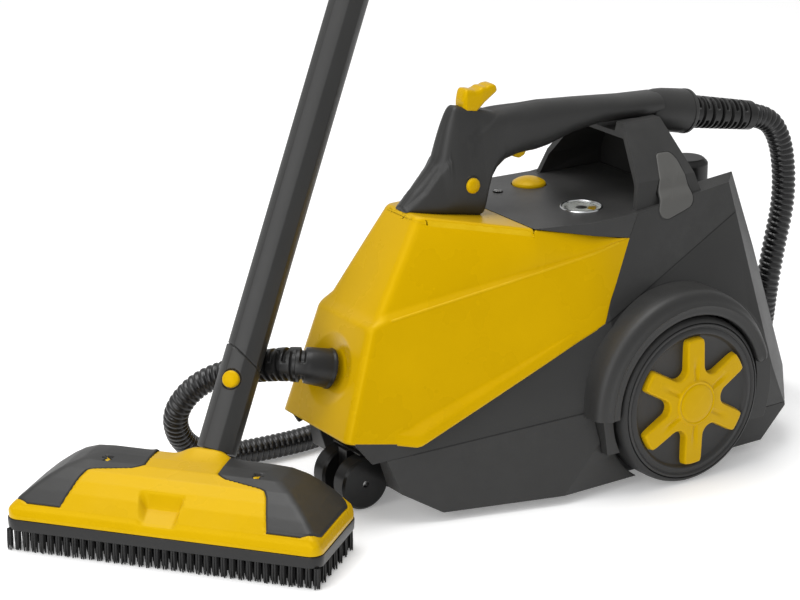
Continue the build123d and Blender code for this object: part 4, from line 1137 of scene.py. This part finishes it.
# %% The dark band under the cover
BAND_PROFILE = [(8, 17.6), (1.6, 17.6), (0.4, 18.4), (0.0, 19.8), (-0.3, 26.6), (-0.1, 27.6), (0.8, 28.1),
                (8, 28.2)]
BAND_PROUD = 0.3
band_rings = [from_brush(*rounded_outline(HALF_LONG + BAND_PROUD - inset, HALF_DEEP + BAND_PROUD - inset,
                                          COVER_CORNER, 480), z) for inset, z in BAND_PROFILE]
band_mesh = make_mesh("brush_band", *capped_tube(np.stack(band_rings)), "black_satin", smooth=40)
place_piece("brush_band", band_mesh, "brush", ["brush_base"])
print("band faces", len(band_mesh.polygons))

# %% The two cloth flaps
def flap_mesh(name, hand):
    """The brush's height over a flap's outline, rounded at its edge, with a slot and a star-shaped dip."""
    s = np.concatenate([np.linspace(FLAP_FRONT, -12, 26, endpoint=False),
                        np.linspace(-12, 4, 30, endpoint=False), np.linspace(4, FLAP_BACK, 40)])[:, None]
    t = np.linspace(0, 1, 90)[None]
    t = 0.5 - 0.5 * np.cos(np.pi * t) * (0.35 + 0.65 * np.abs(np.cos(np.pi * t)) ** 0.2)
    l = flap_inner(s) * (1 - t) + flap_outer(s) * t
    z = brush_height(l, np.broadcast_to(s, l.shape)) + 0.5 - 1.1 * fade(flap_edge(l, s), 0, 1.6) ** 2
    slot = np.clip((5.5 - np.abs(l - 60)) / 0.8, 0, 1) * np.clip((2.6 - np.abs(s - 36)) / 0.8, 0, 1)
    spread = 3.4 + 1.7 * np.cos(5 * np.arctan2(s - 5.5, l - 66))
    hole = np.clip((spread - np.hypot(l - 66, s - 5.5)) / 0.8, 0, 1)
    z = z - 3.2 * np.maximum(slot, hole)
    points = from_brush(hand * l, np.broadcast_to(s, l.shape), z)
    mesh = make_mesh(name, points.reshape(-1, 3), grid_faces(*l.shape).tolist(), "charcoal_shell", smooth=50)
    if mesh.polygons[len(mesh.polygons) // 2].normal.z < 0:
        mesh.flip_normals()
    return mesh


for hand_name, hand in (("left", -1), ("right", 1)):
    flap = place_piece("cloth_flap_" + hand_name, flap_mesh("cloth_flap_" + hand_name, hand),
                       "clamp_" + hand_name, ["clamp_" + hand_name])
    thick = flap.modifiers.new("wall", "SOLIDIFY")
    thick.thickness, thick.offset = 0.0009, -1
    dot_l, dot_s = hand * 64.5, 2.5
    dot_at = from_brush(dot_l, dot_s, brush_height(dot_l, dot_s) - 0.6)
    dot = turned([(-1.5, 2.4), (0, 2.4), (0.8, 2.0), (1.3, 1.0)], dot_at, (0, 0, 1), 20)
    place_piece("flap_dot_" + hand_name, make_mesh("flap_dot_" + hand_name, *dot, "yellow_gloss"),
                "clamp_" + hand_name)
print("flaps ready")

# %% [markdown]
# ## Bristles
# The sole carries staggered rows of stiff tufts. Each tuft is a handful of tapering filaments that lean a
# little apart, so the lower edge is uneven as on a used brush. One small filament is repeated by adding
# arrays of places.

# %% Bristle tufts
rng = np.random.default_rng(7)
SOLE_LONG, SOLE_DEEP = 133.2, 44.2            # half size of the field of tufts
TUFT_ROWS, TUFTS_IN_ROW, TUFT_STAGGER = 14, 38, 3.6
FILAMENT_GAP = 1.7
row_places = []
for k, row_s in enumerate(np.linspace(-SOLE_DEEP, SOLE_DEEP, TUFT_ROWS)):
    row_end, row_count = SOLE_LONG - (k % 2) * TUFT_STAGGER, TUFTS_IN_ROW - k % 2
    row_places.append(np.stack([np.linspace(-row_end, row_end, row_count), np.full(row_count, row_s)], 1))
tuft_places = np.concatenate(row_places)
bundle = np.concatenate([[[0, 0]], unit_ring(np.radians(np.arange(6) * 60)) * FILAMENT_GAP])
roots = (tuft_places[:, None] + bundle[None]).reshape(-1, 2)
lean = np.tile(bundle, (len(tuft_places), 1)) * 0.22 + rng.normal(0, 0.28, roots.shape)
tip_z = 0.15 + rng.uniform(0, 1.0, len(roots))
levels = np.array([0.0, 0.55, 1.0])           # along a filament, from its root to its tip
radius = np.array([1.05, 1.05, 0.6])
sides = 5
ROOT_Z = 18.4
centre_ls = roots[:, None] + lean[:, None] * levels[None, :, None]
ring_ls = centre_ls[:, :, None] + unit_ring(np.radians(np.arange(sides) * 360 / sides)) * radius[:, None, None]
ring_z = (ROOT_Z + (tip_z[:, None] - ROOT_Z) * levels[None])[:, :, None] * np.ones(sides)
filaments = from_brush(ring_ls[..., 0], ring_ls[..., 1], ring_z).reshape(-1, 3)
per = len(levels) * sides
one = grid_faces(len(levels), sides, close_columns=True)
many = (one[None] + per * np.arange(len(roots))[:, None, None]).reshape(-1, 4).tolist()
tips = (np.arange(sides)[None] + per * np.arange(len(roots))[:, None])
many += (tips + per - sides).tolist() + tips[:, ::-1].tolist()
bristles = bpy.data.meshes.new("bristle_tufts")
bristles.from_pydata(in_row(filaments).tolist(), [], many)
bristles.materials.append(FINISHES["bristle_black"])
work = bmesh.new()
work.from_mesh(bristles)
bmesh.ops.recalc_face_normals(work, faces=work.faces)
work.to_mesh(bristles)
work.free()
bristles.shade_smooth()
bristles.set_sharp_from_angle(angle=radians(70))
place_piece("bristle_tufts", bristles, "brush", ["brush_bristles"])
print("filaments", len(roots), "faces", len(bristles.polygons))

# %% [markdown]
# ## The tube and its collar
# The collar and the tube above it are one turned form with eight soft facets. Its radius dips along a
# slanting seam where the collar ends, and round the button that locks it.

# %% Tube, collar and button
TUBE_LEAN, TUBE_SIDE = radians(28.0), radians(8.2)
NECK_HINGE = from_brush(12.0, 40.0, 56.0)
lean_c, lean_s, side_c, side_s = np.cos(TUBE_LEAN), np.sin(TUBE_LEAN), np.cos(TUBE_SIDE), np.sin(TUBE_SIDE)
lean_turn = np.array([[1, 0, 0], [0, lean_c, lean_s], [0, -lean_s, lean_c]])
side_turn = np.array([[side_c, 0, side_s], [0, 1, 0], [-side_s, 0, side_c]])
TUBE_FRAME = np.stack([LONG, DEEP, UPWARDS], 1) @ lean_turn @ side_turn
TUBE_START, TUBE_TOP, BUTTON_Z = 15.0, 589.0, 75.0
TUBE_R, COLLAR_MORE = 16.1, 0.7               # the tube's radius, and how much thicker the collar is
SEAM_AT, SEAM_SLANT = 96.0, 8.0


def from_tube(points):
    """Machine millimetres of points given in the tube's own frame, whose Z runs up the tube."""
    return NECK_HINGE + points @ TUBE_FRAME.T


def tube_radius(turn, z):
    """Soft eight-sided section; a groove runs along the slanting seam and round the button."""
    facet = np.cos(np.pi / 8) / np.cos((turn + np.pi / 8) % (np.pi / 4) - np.pi / 8)
    seam = SEAM_AT + SEAM_SLANT * np.cos(turn - radians(205))
    collar = np.clip((seam - z) / 0.6, 0, 1)
    radius = (TUBE_R + COLLAR_MORE * collar) * (0.45 + 0.55 * facet) * 1.012
    radius = radius - 1.1 * np.clip(1 - np.abs(z - seam) / 0.8, 0, 1)
    across = np.hypot(16.5 * np.cos(turn), z - BUTTON_Z)
    facing = np.sin(turn) < 0
    return radius - 1.8 * facing * np.clip((8.9 - across) / 0.6, 0, 1)


tube_z = np.concatenate([[TUBE_START], np.arange(TUBE_START + 0.8, 112, 0.7), np.arange(116, TUBE_TOP, 12.0),
                         [TUBE_TOP - 1, TUBE_TOP]])[:, None]
tube_turn = np.linspace(0, 2 * np.pi, 144, endpoint=False)[None]
tube_r = tube_radius(tube_turn, tube_z)
tube_r[[0, -1]] -= 0.8
tube_points = np.stack([tube_r * np.cos(tube_turn), tube_r * np.sin(tube_turn),
                        np.broadcast_to(tube_z, tube_r.shape)], -1)
tube_mesh = make_mesh("tube_skin", *capped_tube(from_tube(tube_points)), "charcoal_shell", smooth=30)
place_piece("tube_skin", tube_mesh, "tube", ["tube_collar", "extension_tube"])
press_profile = [(-3.0, 7.2), (1.4, 7.2), (2.1, 6.9), (2.6, 6.1), (3.0, 4.5), (3.3, 2.0)]
press = turned(press_profile, from_tube(np.array([0, -15.6, BUTTON_Z])), TUBE_FRAME @ [0, -1.0, 0], 48)
place_piece("tube_press", make_mesh("tube_press", *press, "yellow_gloss", smooth=50), "tube_button",
            ["tube_button"])
print("tube faces", len(tube_mesh.polygons))

# %% [markdown]
# ## Gauge and side windows
# The gauge is a thin bright ring round a white dial with a dark hub and a yellow sector. A window is a soft
# panel inside a dark groove, laid over the side of the arch.

# %% The pressure gauge
GAUGE_AT = np.array([-55.0, -36.0, DECK_Z])
DIAL_DOWN, DIAL_STEP = 1.6, 5.0               # the dial lies below the deck; its cells are five degrees wide
ring_profile = [(-3, 18.6), (0.2, 18.6), (0.75, 18.3), (0.95, 17.7), (0.8, 17.1), (0.2, 16.8), (-2.2, 16.7)]
bezel = make_mesh("gauge_ring", *turned(ring_profile, GAUGE_AT, (0, 0, 1), 96), "bright_bezel", smooth=50)
place_piece("gauge_ring", bezel, "root", ["gauge_case"])
dial_r = np.array([0.3, 2.5, 5, 6, 7.5, 9, 11, 12.5, 13, 14.5, 16.6])
dial_turn = np.arange(0, 360, DIAL_STEP)
dial_points = np.full((len(dial_r), len(dial_turn), 3), GAUGE_AT - [0, 0, DIAL_DOWN])
dial_points[..., :2] += dial_r[:, None, None] * unit_ring(np.radians(dial_turn))
dial_faces = grid_faces(*dial_points.shape[:2], close_columns=True).tolist()
cell_r = np.repeat((dial_r[1:] + dial_r[:-1]) / 2, len(dial_turn))
cell_turn = np.tile(dial_turn + DIAL_STEP / 2, len(dial_r) - 1)
in_hub = cell_r < 5
in_sector = (cell_r > 6) & (cell_r < 13) & (cell_turn > 285) & (cell_turn < 345)
in_ticks = (cell_r > 13) & (cell_r < 14.5) & (np.floor(cell_turn / DIAL_STEP) % 3 == 0)
dial_look = np.where(in_hub | in_ticks, 1, np.where(in_sector, 2, 0))
dial = make_mesh("dial_face", dial_points.reshape(-1, 3), dial_faces,
                 ["dial_white", "needle_dark", "yellow_gloss"], dial_look, smooth=30)
place_piece("dial_face", dial, "root", ["gauge_dial"])
print("dial cells", len(dial_faces))

# %% The window panels in the arch
WINDOW_OUTLINE = np.array([(13, 276), (27, 275.5), (31.5, 270), (36, 237), (32, 232), (6, 225.5), (0, 227.5),
                           (-3, 234)], float)


def arch_side(x, z):
    """Half width of the outside: the arch above, the shell's flank below, one running into the other."""
    arch = np.interp(z, [226, 258, 301], [76, 66, 30])
    flank_there = 112 - 0.04 * (x + 60) - 0.2092 * (z - 80)
    share = np.clip((z - 240.5) / 10, 0, 1)
    return flank_there + (arch - flank_there) * share * share * (3 - 2 * share)


outline_loop = np.vstack([WINDOW_OUTLINE, WINDOW_OUTLINE[:1]])
outline_run = np.concatenate([[0], np.cumsum(np.linalg.norm(np.diff(outline_loop, axis=0), axis=1))])
LOOP_POINTS = 240
steps = np.linspace(0, outline_run[-1], LOOP_POINTS, endpoint=False)
loop = np.stack([np.interp(steps, outline_run, outline_loop[:, k]) for k in (0, 1)], 1)
for _ in range(24):
    loop = (np.roll(loop, 1, 0) + 2 * loop + np.roll(loop, -1, 0)) / 4
heart = loop.mean(0)
# each ring of the panel: its size, and how far it stands off the arch; the dip is the dark groove
WINDOW_STEPS = [(1.06, -0.8), (1.055, 0.25), (1.045, 0.3), (1.035, -0.5), (1.02, -0.5), (1.0, 0.5),
                (0.985, 0.75), (0.95, 0.8), (0.75, 0.8), (0.5, 0.8), (0.25, 0.8), (0.02, 0.8)]
for hand, side_sign in (("left", -1), ("right", 1)):
    window_rings = []
    for scale, rise in WINDOW_STEPS:
        x, z = (heart + (loop - heart) * scale).T
        window_rings.append(np.stack([x, side_sign * (arch_side(x, z) + rise), z], 1))
    window_points, window_faces = capped_tube(np.stack(window_rings))
    ring_of = np.array([min(face) // LOOP_POINTS for face in window_faces])
    window_look = np.where(ring_of < 3, 0, np.where(ring_of < 4, 1, 2))
    window = make_mesh("window_panel_" + hand, window_points, window_faces,
                       ["charcoal_shell", "black_satin", "window_grey"], window_look, smooth=40)
    place_piece("window_panel_" + hand, window, "root", ["side_window_" + hand])
print("gauge and windows ready")

# %% [markdown]
# ## Parting lines
# Where two mouldings meet there is a narrow shadow. It is drawn as a thin dark strip that follows each seam
# over the convex body: at every point of the side the body is as wide as the narrowest of its planes
# allows.

# %% Seams on both flanks
FLANK_PLANES = [((-304, 51.5, 76), (-60, 112, 80), (-127, 67, 236)),
                ((-60, 112, 80), (90, 106, 80), (-26, 78, 236)),
                ((-60, 112, 80), (90, 106, 80), (-60, 107, 10)),
                ((108, 105, 80), (146, 68, 80), (88.5, 62, 245))]


def body_side(x, z):
    """Half width of the convex body: the least of y over all its side planes."""
    widths = []
    for a, b, c in np.array(FLANK_PLANES, float):
        normal = np.cross(b - a, c - a)
        widths.append(a[1] - (normal[0] * (x - a[0]) + normal[2] * (z - a[2])) / normal[1])
    return np.min(widths, axis=0)


SEAMS = {"shell_seam": [(-70.5, 150.6), (100.5, 227.0)], "base_seam": [(-249, 60.1), (-98, 76.6)]}
SEAM_HALF = 0.55
SEAM_PROFILE = ((-SEAM_HALF, -0.6), (-SEAM_HALF, 0.12), (SEAM_HALF, 0.12), (SEAM_HALF, -0.6))
for seam_name, ends in SEAMS.items():
    start, end = np.array(ends)
    seam_path = np.linspace(start, end, 120)
    seam_across = np.array([start[1] - end[1], end[0] - start[0]]) / np.linalg.norm(end - start)
    for hand, side_sign in (("left", -1), ("right", 1)):
        rails = []
        for shift, rise in SEAM_PROFILE:
            x, z = (seam_path + seam_across * shift).T
            rails.append(np.stack([x, side_sign * (body_side(x, z) + rise), z], 1))
        strip = make_mesh(seam_name + "_" + hand, *capped_tube(np.stack(rails, 1)), "caster_black", smooth=30)
        place_piece(seam_name + "_" + hand, strip, "root")
print("seams drawn:", 2 * len(SEAMS))

# %% The raised edge along the cover's crease
bead_x = np.linspace(-256, -50, 150)
bead_z = crease_z(bead_x) + 0.4
BEAD_PROFILE = ((-1.1, -0.9), (-0.75, 0.1), (0.0, 0.5), (0.75, 0.1), (1.1, -0.9))
for hand, side_sign in (("left", -1), ("right", 1)):
    rails = []
    for shift, rise in BEAD_PROFILE:
        rail_z = bead_z + shift
        rails.append(np.stack([bead_x, side_sign * (cover_half(bead_x, rail_z) + rise), rail_z], 1))
    bead = make_mesh("crease_edge_" + hand, *capped_tube(np.stack(rails, 1)), "yellow_gloss", smooth=60)
    place_piece("crease_edge_" + hand, bead, "root")
print("crease edge length", round(float(bead_x[-1] - bead_x[0]), 1), "mm")

# %% [markdown]
# ## The rest of the machine, from the CAD
# Hidden and plain pieces keep their CAD form. The softened ones get a small bevel on their corners, because no
# moulding has a knife edge and a rounded edge catches the light; the others are only given their finish.

# %% Softened CAD pieces
SOFTENED = [
    ("upper_shell", 1.2, "charcoal_shell", "dark_shell"),
    ("lower_shell", 1.2, "charcoal_shell", "dark_shell"),
    ("base_tray", 1.2, "charcoal_shell", "dark_shell"),
    ("deck_panel", 1.0, "charcoal_deck", "deck_dark"),
    ("trigger", 1.0, "yellow_gloss", "button_yellow"),
    ("power_button", 1.0, "yellow_gloss", "button_yellow"),
    ("neck", 1.0, "black_satin", "black_plastic"),
    ("filler_cap", 1.0, "black_satin", "black_plastic"),
    ("caster_fork", 0.8, "caster_black", "black_plastic"),
    ("mains_inlet", 0.6, "black_satin", "black_plastic"),
]
for node, width, look, slot_name in SOFTENED:
    softened(node, width, look)
print("softened pieces:", len(SOFTENED))

# %% CAD pieces that are shown as they are
PLAIN = {
    "caster_black": ("black_plastic", ["caster_wheels", "caster_socket"]),
    "black_satin": ("black_plastic", ["cap_core", "power_switch", "solenoid_valve",
                                      "pressure_switch", "thermostat", "axle_bushes"]),
    "needle_dark": (None, ["gauge_needle"]),
    "clear_lens": ("clear_lens", ["gauge_lens"]),
    "lamp_lens": ("lamp_clear", ["ready_lamp"]),
    "plain_steel": ("steel", ["rear_axle", "caster_axle", "boiler", "heating_element", "clamp_pins",
                              "neck_pin"]),
    "warm_brass": ("brass", ["filler_neck", "steam_pipe", "gun_pipe"]),
    "board_green": ("board_green", ["control_board"]),
}
for look, (slot_name, nodes) in PLAIN.items():
    for node in nodes:
        dress(node, look)
print("plain pieces:", sum(len(nodes) for _, nodes in PLAIN.values()))
